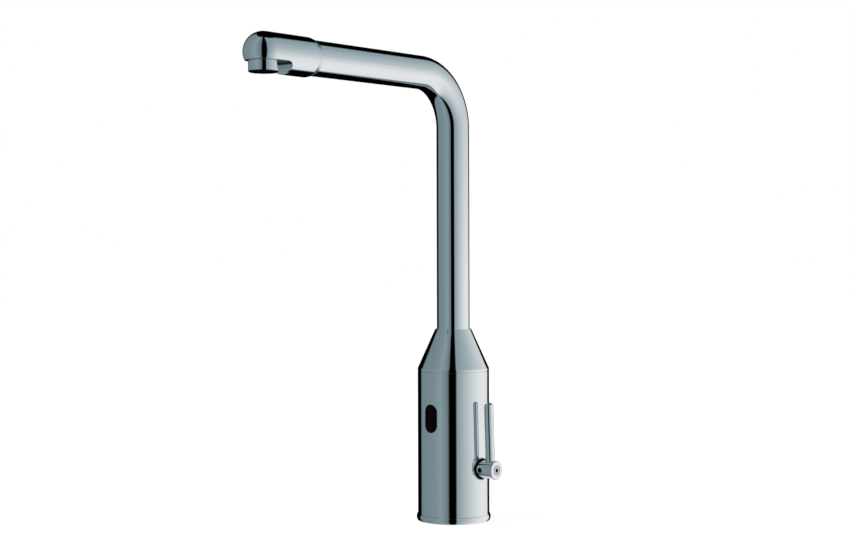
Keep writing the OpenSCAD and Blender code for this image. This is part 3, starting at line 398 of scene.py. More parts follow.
def chrome_plate(
    name, look, drift, marks, handled, milled=None, tone=None, shade=None, ground=None,
):
    """Bright chrome over polished brass: drawing ripple, wipe marks and haze.

    Drift and marks move and stretch the marks, so that each piece has its own, and handled
    is how much haze it has. Tone stands in for the finish's own colour; on the bush it is a
    darker copy that is painted shade. Milled is the box that holds the notch's milled faces,
    which get more roughness and painted light and shade by the way they face. Shade and
    ground are functions of the graph that give 1 where the plate is painted black as shade,
    as in a gap, and where it is only ground.
    """
    milled_roughness = 0.34
    ground_roughness = 0.26
    material, g = new_material(name)
    place = g.place(drift)
    haze = g.patches(0.50, 0.76, place, scale=34, detail=5, roughness=0.62)
    haze = haze * (handled * look.wear)
    wipes = g.patches(0.52, 0.80, g.place(drift, marks), detail=3) * look.wear
    ripple = g.noise(place, scale=21, detail=1, roughness=0.4)
    clean = tone or look.chrome
    plate = g.mix(haze * 0.5, clean, toned(clean, 0.93))
    rough = haze * 0.05 + wipes * 0.03 + look.polish
    if milled:
        # The milled faces are rougher, and get their painted light and shade
        cut, painted_facing_tone = milled_faces(g, look, milled)
        plate = g.mix(cut, plate, painted_facing_tone)
        rough = rough + cut * milled_roughness
    # Painted shade: where shade gives 1 the plate is painted black
    if shade:
        plate = g.mix(shade(g), plate, look.black_plastic)
    if ground:
        rough = rough + ground(g) * ground_roughness
    g.finish({
        "Base Color": plate,
        "Metallic": 1.0,
        "Roughness": rough,
        "Normal": g.bump(ripple, 0.012 * MM),
    })
    return material


def turned_brass(look):
    """Machined brass: fine tool rings and a brown tarnish that gathers in patches."""
    material, g = new_material("turned_brass")
    tarnish = g.patches(0.46, 0.72, scale=70, detail=6, roughness=0.65)
    rings = g.noise(g.place(stretch=(60, 60, 5200)), detail=2)
    g.finish({
        "Base Color": g.mix(tarnish * 0.6, look.brass, toned(look.brass, 0.55)),
        "Metallic": 1.0,
        "Roughness": tarnish * 0.16 + rings * 0.08 + 0.22,
        "Normal": g.bump(rings, 0.004 * MM),
    })
    return material


def stainless_steel(look):
    """Bright stainless steel with fine drawn lines and slight staining."""
    material, g = new_material("stainless_steel")
    stain = g.patches(0.48, 0.74, scale=120, detail=5, roughness=0.6)
    lines = g.noise(g.place(stretch=(4200, 4200, 130)), detail=2)
    g.finish({
        "Base Color": g.mix(stain * 0.5, look.steel, toned(look.steel, 0.72)),
        "Metallic": 1.0,
        "Roughness": stain * 0.12 + lines * 0.10 + 0.20,
        "Normal": g.bump(lines, 0.003 * MM),
    })
    return material


def oxide_black_and_shade_steel(name, look):
    """Black oxide steel rubbed thin in patches; on the nut and the screen it is painted shade.
    """
    material, g = new_material(name)
    rubbed = g.patches(0.58, 0.78, scale=420, detail=4, roughness=0.6)
    g.finish({
        "Base Color": g.mix(rubbed * 0.4, look.black_plastic, toned(look.black_plastic, 2.5)),
        "Metallic": 1.0,
        "Roughness": rubbed * 0.1 + 0.38,
        "Normal": g.bump(g.noise(scale=1800, detail=2), 0.003 * MM),
    })
    return material


def screw_steel(look, face):
    """Bright turned head; below its face the socket and the rim are painted near black as shade.
    """
    material, g = new_material("cap_screw_steel")
    painted_shade_below, bright_above = face - 0.12 * MM, face - 0.04 * MM
    # Painted shade: the steel below the head's face is painted near black
    bright = g.spread(g.part(g.point(), "X"), painted_shade_below, bright_above)
    lines = g.noise(g.place(stretch=(130, 4200, 4200)), detail=2)
    g.finish({
        "Base Color": g.mix(bright, toned(look.steel, 0.03), look.steel),
        "Metallic": 1.0,
        "Roughness": lines * 0.10 + 0.16,
        "Normal": g.bump(lines, 0.003 * MM),
    })
    return material


def seal_rubber(look):
    """Black moulded rubber: fine grain, pale bloom and matt patches."""
    material, g = new_material("seal_rubber")
    bloom = g.patches(0.50, 0.80, scale=240, detail=5, roughness=0.6)
    grain = g.noise(scale=3200, detail=3)
    g.finish({
        "Base Color": g.mix(bloom * 0.5, look.rubber, look.rubber_bloom),
        "Roughness": bloom * 0.18 + grain * 0.08 + 0.58,
        "Normal": g.bump(grain, 0.01 * MM),
    })
    return material


def moulded_plastic(name, tone, sheen, grain_depth):
    """Moulded plastic: flow marks in its colour and a fine spark-eroded grain."""
    material, g = new_material(name)
    flow = g.noise(g.place(stretch=(140, 140, 45)), roughness=0.6)
    grain = g.noise(scale=2600, detail=3)
    scuffs = g.patches(0.60, 0.74, scale=300, detail=6, roughness=0.7)
    g.finish({
        "Base Color": g.mix(flow * 0.6 + scuffs * 0.2, toned(tone, 1.06), toned(tone, 0.82)),
        "Roughness": grain * 0.10 + scuffs * 0.15 + sheen,
        "Normal": g.bump(grain, grain_depth),
    })
    return material


def window_plastic(look, middle, half_width):
    """Infrared filter plastic: near black, with a deep red glint painted down its middle."""
    material, g = new_material("window_plastic")
    off = g.math("ABSOLUTE", g.part(g.point(), "X") - middle.x) / half_width
    # Painted highlight: deep red glint down the middle
    glow = 1 - g.spread(off, 0.02, 0.28)
    specks = g.patches(0.66, 0.80, scale=900, detail=4, roughness=0.7)
    g.finish({
        "Base Color": g.mix(glow * 0.8 + specks * 0.1, look.window, look.window_painted_glint),
        "Roughness": specks * 0.2 + 0.09,
        "IOR": 1.49,
        "Specular IOR Level": 0.03,
        "Normal": g.bump(g.noise(scale=60, detail=1), 0.01 * MM),
    })
    return material


def enamelled_copper(look):
    """Enamelled copper wire, turn by turn a little lighter or darker."""
    material, g = new_material("enamelled_copper")
    turns = g.noise(g.place(stretch=(90, 90, 3000)), detail=2)
    heat = g.patches(0.45, 0.75, scale=160, detail=4)
    g.finish({
        "Base Color": g.mix(turns * 0.6 + heat * 0.3, look.copper, toned(look.copper, 0.55)),
        "Metallic": 1.0,
        "Roughness": turns * 0.12 + 0.24,
        "Coat Weight": heat * 0.3 + 0.6,
        "Normal": g.bump(turns, 0.004 * MM),
    })
    return material


def circuit_board(look):
    """Green solder mask over copper tracks that run square to each other."""
    material, g = new_material("circuit_board")
    edge = g.add(
        "ShaderNodeTexVoronoi", {"feature": "F1", "distance": "CHEBYCHEV"},
        {"Vector": g.place(), "Scale": 520.0, "Randomness": 0.7}, "Distance",
    )
    tracks = g.spread(edge, 0.30, 0.34) * (1 - g.spread(edge, 0.42, 0.46))
    weave = g.noise(scale=2400, detail=2)
    g.finish({
        "Base Color": g.mix(tracks * 0.7 + weave * 0.15, look.board, toned(look.board, 2.1)),
        "Roughness": weave * 0.12 + 0.30,
        "Normal": g.bump(tracks + weave * 0.2, 0.03 * MM),
    })
    return material


def dress(names, finish):
    """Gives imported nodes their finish."""
    for name in names:
        for slot in frame["nodes"][name].material_slots:
            slot.material = finish


# Small pieces

def soft_box(inner, outer, low, high, corner, steps=4):
    """Closed section with round corners, as (radius, height) points."""
    middles = (
        (outer - corner, low + corner, -90), (outer - corner, high - corner, 0),
        (inner + corner, high - corner, 90), (inner + corner, low + corner, 180),
    )
    return [
        (r + corner * math.cos(math.radians(start + 90 * i / steps)),
         z + corner * math.sin(math.radians(start + 90 * i / steps)))
        for r, z, start in middles for i in range(steps + 1)
    ]


def round_section(radius, thickness, height=0.0, steps=20):
    """Round section of an O-ring, with the fine flash line left by its mould."""
    beside_flash = 0.985
    loop = []
    for i in range(steps):
        turn = 2 * math.pi * i / steps
        reach = (beside_flash if i % (steps // 2) else 1.0) * thickness / 2
        loop.append((radius + reach * math.cos(turn), height + reach * math.sin(turn)))
    return loop


def turned(section, place=Matrix(), steps=ROUND_STEPS):
    """Points and faces of a closed section turned round the local Z axis."""
    count = len(section)
    points = [
        place @ Vector((r * math.cos(turn), r * math.sin(turn), z))
        for turn in (2 * math.pi * i / steps for i in range(steps))
        for r, z in section
    ]
    faces = [
        (i * count + k, i * count + (k + 1) % count,
         (i + 1) % steps * count + (k + 1) % count, (i + 1) % steps * count + k)
        for i in range(steps) for k in range(count)
    ]
    return points, faces


def wire(route, thickness, sides=10):
    """Points and faces of a round wire along a route, with flat ends."""
    points, faces = [], []
    side = None
    for i, here in enumerate(route):
        run = (route[min(i + 1, len(route) - 1)] - route[max(i - 1, 0)]).normalized()
        if side is None:
            side = run.orthogonal()
        side = (side - run * side.dot(run)).normalized()
        other = run.cross(side)
        for k in range(sides):
            turn = 2 * math.pi * k / sides
            points.append(
                here + (side * math.cos(turn) + other * math.sin(turn)) * (thickness / 2)
            )
    for i in range(len(route) - 1):
        for k in range(sides):
            a, b = i * sides + k, i * sides + (k + 1) % sides
            faces.append((a, b, b + sides, a + sides))
    last = (len(route) - 1) * sides
    faces.append(tuple(reversed(range(sides))))
    faces.append(tuple(range(last, last + sides)))
    return points, faces


def joined(parts):
    """Several points-and-faces pairs as one."""
    points, faces = [], []
    for more_points, more_faces in parts:
        start = len(points)
        points.extend(more_points)
        faces.extend(tuple(start + i for i in face) for face in more_faces)
    return points, faces


def build(name, shape, finish, body, stands_for):
    """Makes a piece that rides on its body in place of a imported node."""
    mesh = bpy.data.meshes.new(name)
    mesh.from_pydata(shape[0], [], shape[1])
    work = bmesh.new()
    work.from_mesh(mesh)
    bmesh.ops.recalc_face_normals(work, faces=work.faces)
    work.to_mesh(mesh)
    work.free()
    mesh.polygons.foreach_set("use_smooth", [True] * len(mesh.polygons))
    mesh.set_sharp_from_angle(angle=SMOOTH_ANGLE)
    mesh.materials.append(finish)
    piece = bpy.data.objects.new(name, mesh)
    bpy.context.scene.collection.objects.link(piece)
    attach(piece, body)
    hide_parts(stands_for)
    return piece


def node_box(node):
    """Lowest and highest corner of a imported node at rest."""
    low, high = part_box(node)
    return Vector(low), Vector(high)


def outline(node):
    """Middle, outer radius, lowest and highest level of an upright round node."""
    low, high = node_box(node)
    return (low + high) / 2, (high.x - low.x) / 2, low.z, high.z


def upright(middle, level=0.0):
    """Place of a piece that is turned round an upright axis through the middle."""
    return Matrix.Translation((middle.x, middle.y, level))


def coil_route(middle, radius, low, high, thickness, turns):
    """Helix with a closed turn at each end."""
    flat = thickness * WIRE_PITCH
    rises = [flat] + [(high - low - thickness - 2 * flat) / turns] * turns + [flat]
    route = []
    level = low + thickness / 2
    for rise in rises:
        for i in range(TURN_STEPS):
            turn = 2 * math.pi * i / TURN_STEPS
            route.append(Vector((
                middle.x + radius * math.cos(turn), middle.y + radius * math.sin(turn),
                level + rise * i / TURN_STEPS,
            )))
        level += rise
    return route + [Vector((middle.x + radius, middle.y, level))]


def make_spring(node, thickness, turns, travel, finish):
    """A spring wound on the body at its rest length; it doesn't shorten as the joint moves."""
    middle, outer, low, high = outline(node)
    route = coil_route(middle, outer - thickness / 2, low, high, thickness, turns)
    piece = build(f"{node}_coil", wire(route, thickness), finish, "body", node)
    1 - travel / (high - low)
    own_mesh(piece)


def joint_travel(name):
    """How far a sliding joint moves from rest."""
    for joint in frame["joints"]:
        if joint["name"] == name:
            return max(abs(limit) for limit in joint["range_m"])
    raise RuntimeError(f"the frame has no joint named {name}")


def woven_screen(middle, radius, low, high, thickness, pitch):
    """Wires woven over and under each other inside a round rim."""
    level = (low + high) / 2
    rim = 0.55 * MM
    reach = radius - rim / 2
    sway = thickness * 0.55
    least_steps, steps_per_pitch, sides = 4, 8, 6
    parts = [turned(
        soft_box(radius - rim, radius, low, high, rim / 3), upright(middle), SMALL_STEPS,
    )]
    rows = int(reach // pitch)
    for along_x in (True, False):
        for row in range(-rows, rows + 1):
            off = row * pitch
            half = math.sqrt(reach ** 2 - off ** 2)
            count = max(least_steps, round(steps_per_pitch * half / pitch))
            route = []
            for i in range(count + 1):
                run = -half + 2 * half * i / count
                lift = math.cos(math.pi * (run / pitch + row)) * sway
                spot = (run, off, lift) if along_x else (off, run, -lift)
                route.append(Vector((middle.x, middle.y, level)) + Vector(spot))
            parts.append(wire(route, thickness, sides))
    return joined(parts)


def curved_gasket(node, back, hole_gap, flange):
    """Flat gasket round the window's slot, bent to the sleeve's inside.

    Back is the radius of the face that the window's flange presses.
    """
    steps, corner = 24, 0.2 * MM
    low, high = node_box(node)
    middle_z = (low.z + high.z) / 2
    outer = (high.x - low.x) / 2
    straight = (high.z - low.z) / 2 - outer
    section = soft_box(outer - flange + hole_gap, outer, back, -low.y, corner)
    points, rows = [], []
    for half, start in ((1, -90), (-1, 90)):
        for i in range(steps + 1):
            turn = math.radians(start + 180 * i / steps)
            rows.append([])
            for reach, depth in section:
                x = reach * math.sin(turn)
                rows[-1].append(len(points))
                points.append(Vector((
                    x, -math.sqrt(depth ** 2 - x ** 2),
                    middle_z + half * straight + reach * math.cos(turn),
                )))
    count = len(section)
    faces = [
        (row[k], row[(k + 1) % count], after[(k + 1) % count], after[k])
        for row, after in zip(rows, rows[1:] + rows[:1]) for k in range(count)
    ]
    return points, faces


# Operators

class SENSORTAP_OT_chrome(bpy.types.Operator):
    """Plate the body, the spout and the lever in chrome"""

    bl_idname = "sensortap.chrome"
    bl_label = "Chrome pieces"

    # Share of the plate's brightness that the bush keeps: the bush is a darker copy of the
    # chrome, painted shade between the sleeve and the hub
    BUSH_SHADE_SHARE = 0.4

    def execute(self, context):
        look = context.scene.sensortap_finishes
        sizes = context.scene.sensortap_small_parts
        dress(BODY_CHROME, chrome_plate(
            "body_chrome", look, drift=(0, 0, 0), marks=(40, 40, 9), handled=0.6,
        ))
        low, high = node_box("lever_bush")
        level = (low.z + high.z) / 2
        # Painted shade: the bush is a darker copy of the chrome, painted black at its inner edge
        dress(("lever_bush",), chrome_plate(
            "bush_chrome", look, drift=(0.2, 0.1, 0), marks=(60, 60, 60), handled=1.0,
            tone=toned(look.chrome, self.BUSH_SHADE_SHARE),
            shade=lambda g: g.around(level, sizes.bush_shade, MARGIN),
        ))
        drawn = {"drift": (0.3, 0, 0.1), "marks": (55, 12, 18), "handled": 0.5}
        dress(("spout_tube",), chrome_plate("spout_chrome", look, **drawn))
        low, high = node_box("spout_nozzle")
        rear = low - PAST, high + PAST
        rear[0].y = high.y - sizes.taper
        dress(("spout_nozzle",), chrome_plate(
            "nozzle_chrome", look, **drawn, milled=self.notch(sizes),
            ground=lambda g: g.inside(*rear),
        ))
        # Painted shade: the aerator's lower lip is painted black
        low, high = node_box("aerator_housing")
        lip = low - PAST, high + PAST
        lip[1].z = low.z + sizes.lip
        dress(("aerator_housing",), chrome_plate(
            "aerator_chrome", look, **drawn, shade=lambda g: g.inside(*lip),
        ))
        dress(LEVER_CHROME, chrome_plate(
            "lever_chrome", look, drift=(0.1, 0.2, 0), marks=(90, 60, 25), handled=1.0,
        ))
        return {"FINISHED"}

    @staticmethod
    def notch(sizes):
        """Box that holds the milled faces under the nozzle: their wall and their ceiling."""
        low, high = node_box("spout_nozzle")
        box = low - PAST, high + PAST
        box[1].y = outline("aerator_housing")[0].y + sizes.milled_length + MARGIN
        box[1].z = (low.z + high.z) / 2 - sizes.flat_depth + MARGIN
        return box


class SENSORTAP_OT_brass(bpy.types.Operator):
    """Finish the turned brass pieces of the waterway"""

    bl_idname = "sensortap.brass"
    bl_label = "Brass pieces"

    def execute(self, context):
        dress(BRASS, turned_brass(context.scene.sensortap_finishes))
        return {"FINISHED"}


class SENSORTAP_OT_steel(bpy.types.Operator):
    """Finish the screws, posts, strainers and the solenoid's steel"""

    bl_idname = "sensortap.steel"
    bl_label = "Steel pieces"

    def execute(self, context):
        look = context.scene.sensortap_finishes
        dress(STEEL, stainless_steel(look))
        # Painted shade on the cartridge nut; black oxide on the grub screw
        dress(BLACK_OXIDE_AND_SHADE, oxide_black_and_shade_steel("oxide_black_and_shade_steel", look))
        dress(("cap_screw",), screw_steel(look, node_box("cap_screw")[1].x))
        return {"FINISHED"}


class SENSORTAP_OT_plastic(bpy.types.Operator):
    """Finish the white, black and smoked moulded plastic"""

    bl_idname = "sensortap.plastic"
    bl_label = "Plastic pieces"

    def execute(self, context):
        look = context.scene.sensortap_finishes
        for names, finish, tone, sheen, grain_depth in (
            (WHITE_PLASTIC, "white_acetal", look.white_plastic, 0.34, 0.003 * MM),
            (BLACK_PLASTIC, "black_housing", look.black_plastic, 0.46, 0.01 * MM),
            (SMOKED_PLASTIC, "smoked_lens", look.smoked_plastic, 0.10, 0.001 * MM),
        ):
            dress(names, moulded_plastic(finish, tone, sheen, grain_depth))
        return {"FINISHED"}


class SENSORTAP_OT_sensor(bpy.types.Operator):
    """Finish the sensor's window and its circuit board"""

    bl_idname = "sensortap.sensor"
    bl_label = "Window and board"

    def execute(self, context):
        look = context.scene.sensortap_finishes
        low, high = node_box("sensor_window")
        half_width = (high.x - low.x) / 2 - WINDOW_FLANGE
        dress(("sensor_window",), window_plastic(look, (low + high) / 2, half_width))
        dress(("sensor_board",), circuit_board(look))
        return {"FINISHED"}


class SENSORTAP_OT_seals(bpy.types.Operator):
    """Mould the rubber seals, O-rings, grommet and diaphragm"""

    bl_idname = "sensortap.seals"
    bl_label = "Rubber seals"

    # Width of each flat ring's section, and the radius of its corners
    BASE_SEAL = 2.5 * MM, 0.5 * MM
    CABLE_GROMMET = 1.35 * MM, 0.45 * MM
    AERATOR_WASHER = 3 * MM, 0.3 * MM
    # The plunger's seal is a small disc with a pin hole
    PIN_HOLE = 0.05 * MM
    DISC_CORNER = 0.04 * MM
    DISC_STEPS = 48
    # Radius of the face that presses the sensor's gasket, and its gap round the window
    GASKET_BACK = 21.65 * MM
    GASKET_GAP = 0.08 * MM

    def execute(self, context):
        sizes = context.scene.sensortap_small_parts
        rubber = seal_rubber(context.scene.sensortap_finishes)

        def seal(node, shape, body="body"):
            build(f"{node}_moulding", shape, rubber, body, node)

        def ring(node, width, corner, body="body", place=None):
            middle, outer, low, high = outline(node)
            section = soft_box(outer - width, outer, low, high, corner)
            seal(node, turned(section, place or upright(middle)), body)

        on_the_axis = Matrix()
        ring("base_seal", *self.BASE_SEAL, place=on_the_axis)
        ring("cable_grommet", *self.CABLE_GROMMET)

        low, high = node_box("spool_orings")
        half = sizes.spool_oring / 2
        radius = (high.z - low.z) / 2 - half
        level = (low.z + high.z) / 2
        across = Matrix.Rotation(math.pi / 2, 4, "Y")
        seal("spool_orings", joined([
            turned(
                round_section(radius, sizes.spool_oring),
                Matrix.Translation((x, 0, level)) @ across, SMALL_STEPS,
            )
            for x in (low.x + half, high.x - half)
        ]), "lever")

        outer, low, high = outline("spout_orings")[1:]
        half = sizes.spout_oring / 2
        seal("spout_orings", joined([
            turned(round_section(outer - half, sizes.spout_oring, level))
            for level in (low + half, high - half)
        ]), "spout")

        seal("diaphragm", self.diaphragm())

        middle, outer, low, high = outline("plunger_seal")
        seal("plunger_seal", turned(
            soft_box(self.PIN_HOLE, outer, low, high, self.DISC_CORNER), upright(middle),
            self.DISC_STEPS,
        ), "plunger")

        ring("aerator_washer", *self.AERATOR_WASHER, "spout")
        seal("sensor_seal", curved_gasket(
            "sensor_seal", self.GASKET_BACK, self.GASKET_GAP, WINDOW_FLANGE,
        ))
        return {"FINISHED"}

    @staticmethod
    def diaphragm():
        """Membrane with a thick rim, a rolling fold and a stiff middle."""
        middle, outer, low, high = outline("diaphragm")
        mid = (low + high) / 2
        thin = 0.22 * MM
        fold = 0.28 * MM
        hole = 0.5 * MM
        disc_slope, rim_slope = 0.5 * MM, 0.3 * MM
        fold_steps = 16
        inner_edge, outer_edge = outer - 4.4 * MM, outer - 1.5 * MM
        top, bottom = [], []
        for i in range(fold_steps + 1):
            share = i / fold_steps
            r = inner_edge + (outer_edge - inner_edge) * share
            lift = fold * math.sin(math.pi * share)
            top.append((r, mid + lift + thin))
            bottom.append((r, mid + lift - thin))
        section = (
            [(hole, high), (inner_edge - disc_slope, high)] + top
            + [(outer_edge + rim_slope, high), (outer, high)]
            + [(outer, low), (outer_edge + rim_slope, low)] + bottom[::-1]
            + [(inner_edge - disc_slope, low), (hole, low)]
        )
        return turned(section, upright(middle))


class SENSORTAP_OT_springs(bpy.types.Operator):
    """Wind the check springs and the plunger's spring"""

    bl_idname = "sensortap.springs"
    bl_label = "Springs"

    def execute(self, context):
        sizes = context.scene.sensortap_small_parts
        steel = frame["nodes"]["plunger"].material_slots[0].material
        for side in ("hot", "cold"):
            joint = f"poppet_slide_{side}"
            make_spring(
                f"check_spring_{side}", sizes.check_wire, sizes.check_turns,
                joint_travel(joint), steel,
            )
        make_spring(
            "plunger_spring", sizes.plunger_wire, sizes.plunger_turns,
            joint_travel("plunger_slide"), steel,
        )
        return {"FINISHED"}


class SENSORTAP_OT_winding(bpy.types.Operator):
    """Wind the solenoid's coil turn by turn"""

    bl_idname = "sensortap.winding"
    bl_label = "Coil winding"

    # Depth of the wire under the outer turns, and the radius of its corners
    CORE_DEPTH = 2.9 * MM
    CORE_CORNER = 0.2 * MM
    # How far the outer turns stand out of it, as a share of the wire
    PROUD_SHARE = 0.75
    WIRE_SIDES = 8

    def execute(self, context):
        thickness = context.scene.sensortap_small_parts.winding_wire
        middle, outer, low, high = outline("coil_winding")
        turns = int((high - low) / (thickness * WIRE_PITCH)) - CLOSED_TURNS
        route = coil_route(middle, outer - thickness / 2, low, high, thickness, turns)
        core = soft_box(
            outer - self.CORE_DEPTH, outer - thickness * self.PROUD_SHARE,
            low + thickness / 2, high - thickness / 2, self.CORE_CORNER,
        )
        shape = joined([
            wire(route, thickness, self.WIRE_SIDES), turned(core, upright(middle)),
        ])
        build(
            "coil_winding_wire", shape, enamelled_copper(context.scene.sensortap_finishes),
            "body", "coil_winding",
        )
        return {"FINISHED"}


class SENSORTAP_OT_screen(bpy.types.Operator):
    """Weave the aerator's screen"""

    bl_idname = "sensortap.screen"
    bl_label = "Aerator screen"

    def execute(self, context):
        sizes = context.scene.sensortap_small_parts
        middle, outer, low, high = outline("aerator_screen")
        shape = woven_screen(middle, outer, low, high, sizes.screen_wire, sizes.screen_pitch)
        # Painted shade: the screen's steel wire is painted black, as shade in the aerator's
        # mouth
        build(
            "aerator_screen_weave", shape,
            oxide_black_and_shade_steel("screen_steel", context.scene.sensortap_finishes),
            "spout", "aerator_screen",
        )
        return {"FINISHED"}


class SENSORTAP_OT_studio(bpy.types.Operator):
    """Set up the floor, the soft light and the camera"""

    bl_idname = "sensortap.studio"
    bl_label = "Studio"

    # Directions round the upright from the camera, in degrees to its right,
    # each with its share of the cool panel and of the bright panel
    PANELS = (
        (-180, 0, 0), (-127.5, 0, 0), (-122.5, 0.84, 0), (-90, 0.90, 0), (-60, 1.0, 0),
        (-43, 1.17, 0), (-27, 0.89, 0), (-18.5, 0.68, 0), (-14.5, 0, 0), (6.8, 0, 0),
        (10, 1.0, 0.06), (32, 0.80, 0.31), (54, 0.45, 0.61), (72, 0.25, 0.80),
        (90, 0.05, 0.97), (104, 0, 1.02), (135.5, 0, 0.96), (140, 0, 0), (180, 0, 0),
    )
    # Share of the bright panel that is left at each height above the deck;
    # the cool panel takes over from it
    BRIGHT_BY_HEIGHT = (
        (-0.5, 1), (0.15, 1), (0.30, 0.67), (0.46, 0.38), (0.62, 0.20), (0.85, 0.02),
    )
    # The panels end in the dark above these heights, lower at the back than at the front
    DARK_ABOVE = (1.25, 1.40)
    DARK_TILT = 1.0
    # How bright the high panels are where the low ones are bright, beside the cool panel
    HIGH_SHARE = 1.22
    PANEL_RADIUS = 0.5
    PANEL_ENDS = (-1.2, 1.7)
    ROUND_SIDES = 128
    FLOOR_RADIUS = 5.0
    # The floor lies just under the tap, so that their faces don't meet
    FLOOR_DROP = 0.2 * MM
    # Paint that lights the tap, and the veil and the glow that are seen in its place
    FLOOR_PAINT = (0.80, 0.80, 0.80), (0.82, 0.82, 0.82)
    FLOOR_VEIL = (0.30, 0.30, 0.30, 1)
    FLOOR_GLOW = 0.80
    WHITE = (1, 1, 1, 1)
    # The camera's film in millimetres, and the nearest that it sees in metres
    FILM_WIDTH = 36
    NEAREST = 0.01
    KEY_PLACE = (-1.3, -1.7, 2.1)
    KEY_SIZE = 1.6
    KEY_AIM = (0, 0, 0.15)

    def execute(self, context):
        studio = context.scene.sensortap_studio
        self.camera(context.scene, studio)
        self.world(context.scene, studio)
        self.panels(studio)
        self.floor()
        self.lamp("key_lamp", self.KEY_PLACE, self.KEY_SIZE, studio.key_power)
        context.scene.view_settings.view_transform = "Standard"
        return {"FINISHED"}

    def camera(self, scene, studio):
        data = bpy.data.cameras.new("camera")
        data.sensor_width = self.FILM_WIDTH
        data.lens = studio.lens
        data.shift_y = studio.frame_drop
        data.clip_start = self.NEAREST
        camera = bpy.data.objects.new("camera", data)
        camera.location = studio.camera_place
        camera.rotation_euler = (math.pi / 2, studio.camera_roll, studio.camera_turn)
        scene.collection.objects.link(camera)
        scene.camera = camera

    @staticmethod
    def seen_rays(g):
        """1 for what the camera sees, straight or in metal and glass."""
        path = {
            name: g.add("ShaderNodeLightPath", output=name)
            for name in ("Is Camera Ray", "Is Glossy Ray", "Is Transmission Ray")
        }
        seen = g.math("MAXIMUM", path["Is Camera Ray"], path["Is Glossy Ray"])
        return g.math("MAXIMUM", seen, path["Is Transmission Ray"])

    def world(self, scene, studio):
        world = bpy.data.worlds.new("studio_world")
        scene.world = world
        g = Graph(world)
        lit, shown = (
            g.add("ShaderNodeBackground", sockets={"Color": self.WHITE, "Strength": level})
            for level in (studio.world_level, 1.0)
        )
        both = g.add("ShaderNodeMixShader", sockets={0: self.seen_rays(g), 1: lit, 2: shown})
        g.add("ShaderNodeOutputWorld", sockets={"Surface": both})

    def ring(self, g, turn, cool_tone, bright_tone):
        """Tone of the panels by their direction round the upright."""
        stops = [
            (degrees / 360 + 0.5, tuple(
                cool * a + bright * b for a, b in zip(cool_tone, bright_tone)
            ))
            for degrees, cool, bright in self.PANELS
        ]
        return g.add("ShaderNodeValToRGB", {"stops": stops}, {"Fac": turn})

    def panels(self, studio):
        """A tent of soft panels and black flags that only the metal sees."""
        material, g = new_material("studio_panels")
        point = g.point()
        turn = studio.camera_turn
        ahead = (math.sin(turn), -math.cos(turn), 0)
        right = (math.cos(turn), math.sin(turn), 0)
        along = g.vector("DOT_PRODUCT", point, ahead, output="Value")
        aside = g.vector("DOT_PRODUCT", point, right, output="Value")
        angle = g.math("ARCTAN2", aside, along) / (2 * math.pi) + 0.5
        level = g.part(point, "Z")
        lowest, highest = self.BRIGHT_BY_HEIGHT[0][0], self.BRIGHT_BY_HEIGHT[-1][0]
        share = g.add("ShaderNodeValToRGB", {"stops": [
            ((height - lowest) / (highest - lowest), (left,) * 3)
            for height, left in self.BRIGHT_BY_HEIGHT
        ]}, {"Fac": (level - lowest) / (highest - lowest)})
        cool, bright = studio.cool_panel, studio.bright_panel
        high = self.ring(g, angle, cool, toned(cool, self.HIGH_SHARE))
        low = self.ring(g, angle, cool, bright)
        tone = g.mix(share, high, low)
        above = g.spread(level - along * self.DARK_TILT, *self.DARK_ABOVE)
        lit = g.mix(above, tone, (0, 0, 0))
        glow = g.add("ShaderNodeEmission", sockets={"Color": lit, "Strength": 1.0})
        g.add("ShaderNodeOutputMaterial", sockets={"Surface": glow})
        material.cycles.emission_sampling = "NONE"

        bottom, top = self.PANEL_ENDS
        work = bmesh.new()
        bmesh.ops.create_cone(
            work, cap_ends=True, segments=self.ROUND_SIDES, radius1=self.PANEL_RADIUS,
            radius2=self.PANEL_RADIUS, depth=top - bottom,
            matrix=Matrix.Translation((0, 0, (top + bottom) / 2)),
        )
        tent = self.put_up("studio_panels", work, material)
        tent.visible_camera = False
        tent.visible_diffuse = False
        tent.visible_transmission = False
        tent.visible_volume_scatter = False
        tent.visible_shadow = False

    def floor(self):
        """Pale floor that keeps the tap's soft shadow."""
        material, g = new_material("studio_floor")
        mottle = g.noise(scale=8, detail=2)
        paint = g.add("ShaderNodeBsdfDiffuse", sockets={
            "Color": g.mix(mottle, *self.FLOOR_PAINT),
        })
        veil = g.add("ShaderNodeBsdfDiffuse", sockets={"Color": self.FLOOR_VEIL})
        glow = g.add(
            "ShaderNodeEmission", sockets={"Color": self.WHITE, "Strength": self.FLOOR_GLOW},
        )
        shown = g.add("ShaderNodeAddShader", sockets={0: veil, 1: glow})
        both = g.add("ShaderNodeMixShader", sockets={0: self.seen_rays(g), 1: paint, 2: shown})
        g.add("ShaderNodeOutputMaterial", sockets={"Surface": both})

        work = bmesh.new()
        bmesh.ops.create_circle(
            work, cap_ends=True, segments=self.ROUND_SIDES, radius=self.FLOOR_RADIUS,
        )
        floor = self.put_up("studio_floor", work, material)
        floor.location.z = -self.FLOOR_DROP
        floor.visible_glossy = False

    @staticmethod
    def put_up(name, work, material):
        """Makes a piece of the studio from its faces."""
        mesh = bpy.data.meshes.new(name)
        work.to_mesh(mesh)
        work.free()
        mesh.materials.append(material)
        piece = bpy.data.objects.new(name, mesh)
        bpy.context.scene.collection.objects.link(piece)
        return piece

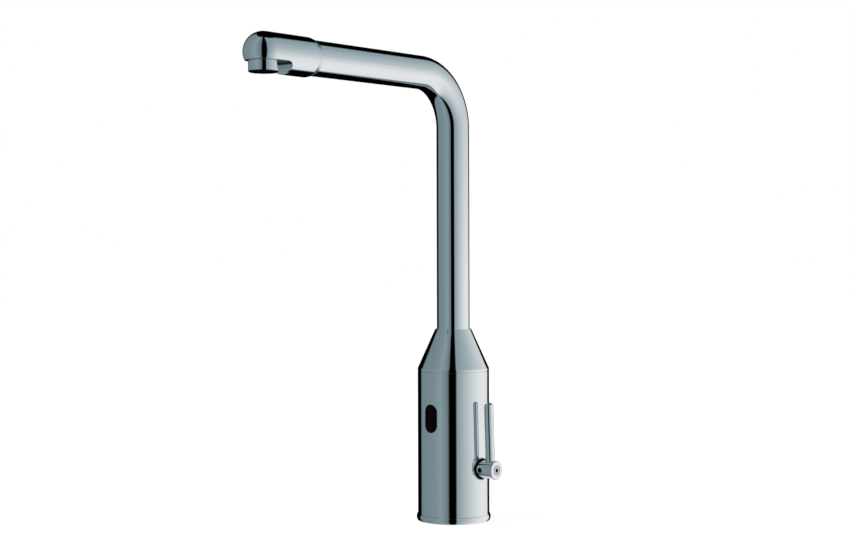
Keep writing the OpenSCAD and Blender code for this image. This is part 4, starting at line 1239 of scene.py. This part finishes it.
    def lamp(self, name, place, size, power):
        data = bpy.data.lights.new(name, "AREA")
        data.shape = "DISK"
        data.size = size
        data.energy = power
        lamp = bpy.data.objects.new(name, data)
        lamp.location = place
        aim = Vector(self.KEY_AIM) - lamp.location
        lamp.rotation_euler = aim.to_track_quat("-Z", "Y").to_euler()
        bpy.context.scene.collection.objects.link(lamp)
        lamp.visible_glossy = False


class SENSORTAP_PT_pieces(bpy.types.Panel):
    """Lists the tap's operators and settings"""

    bl_label = "Sensor Tap"
    bl_idname = "SENSORTAP_PT_pieces"
    bl_space_type = "VIEW_3D"
    bl_region_type = "UI"
    bl_category = "Sensor Tap"

    def draw(self, context):
        layout = self.layout
        for operator in OPERATORS:
            layout.operator(operator.bl_idname)
        for title, group in (
            ("Finishes", context.scene.sensortap_finishes),
            ("Small parts", context.scene.sensortap_small_parts),
            ("Studio", context.scene.sensortap_studio),
        ):
            box = layout.box()
            box.label(text=title)
            for name in group.__annotations__:
                box.prop(group, name)


GROUPS = {
    "sensortap_finishes": SENSORTAP_PG_finishes,
    "sensortap_small_parts": SENSORTAP_PG_small_parts,
    "sensortap_studio": SENSORTAP_PG_studio,
}
OPERATORS = (
    SENSORTAP_OT_chrome,
    SENSORTAP_OT_brass,
    SENSORTAP_OT_steel,
    SENSORTAP_OT_plastic,
    SENSORTAP_OT_sensor,
    SENSORTAP_OT_seals,
    SENSORTAP_OT_springs,
    SENSORTAP_OT_winding,
    SENSORTAP_OT_screen,
    SENSORTAP_OT_studio,
)
CLASSES = (*GROUPS.values(), *OPERATORS, SENSORTAP_PT_pieces)


def register():
    for one in CLASSES:
        bpy.utils.register_class(one)
    for name, group in GROUPS.items():
        setattr(bpy.types.Scene, name, PointerProperty(type=group))


def unregister():
    for name in GROUPS:
        delattr(bpy.types.Scene, name)
    for one in reversed(CLASSES):
        bpy.utils.unregister_class(one)


def main():
    register()
    bpy.ops.sensortap.chrome()
    bpy.ops.sensortap.brass()
    bpy.ops.sensortap.steel()
    bpy.ops.sensortap.plastic()
    bpy.ops.sensortap.sensor()
    bpy.ops.sensortap.seals()
    bpy.ops.sensortap.springs()
    bpy.ops.sensortap.winding()
    bpy.ops.sensortap.screen()
    bpy.ops.sensortap.studio()


if __name__ == "__main__":
    main()
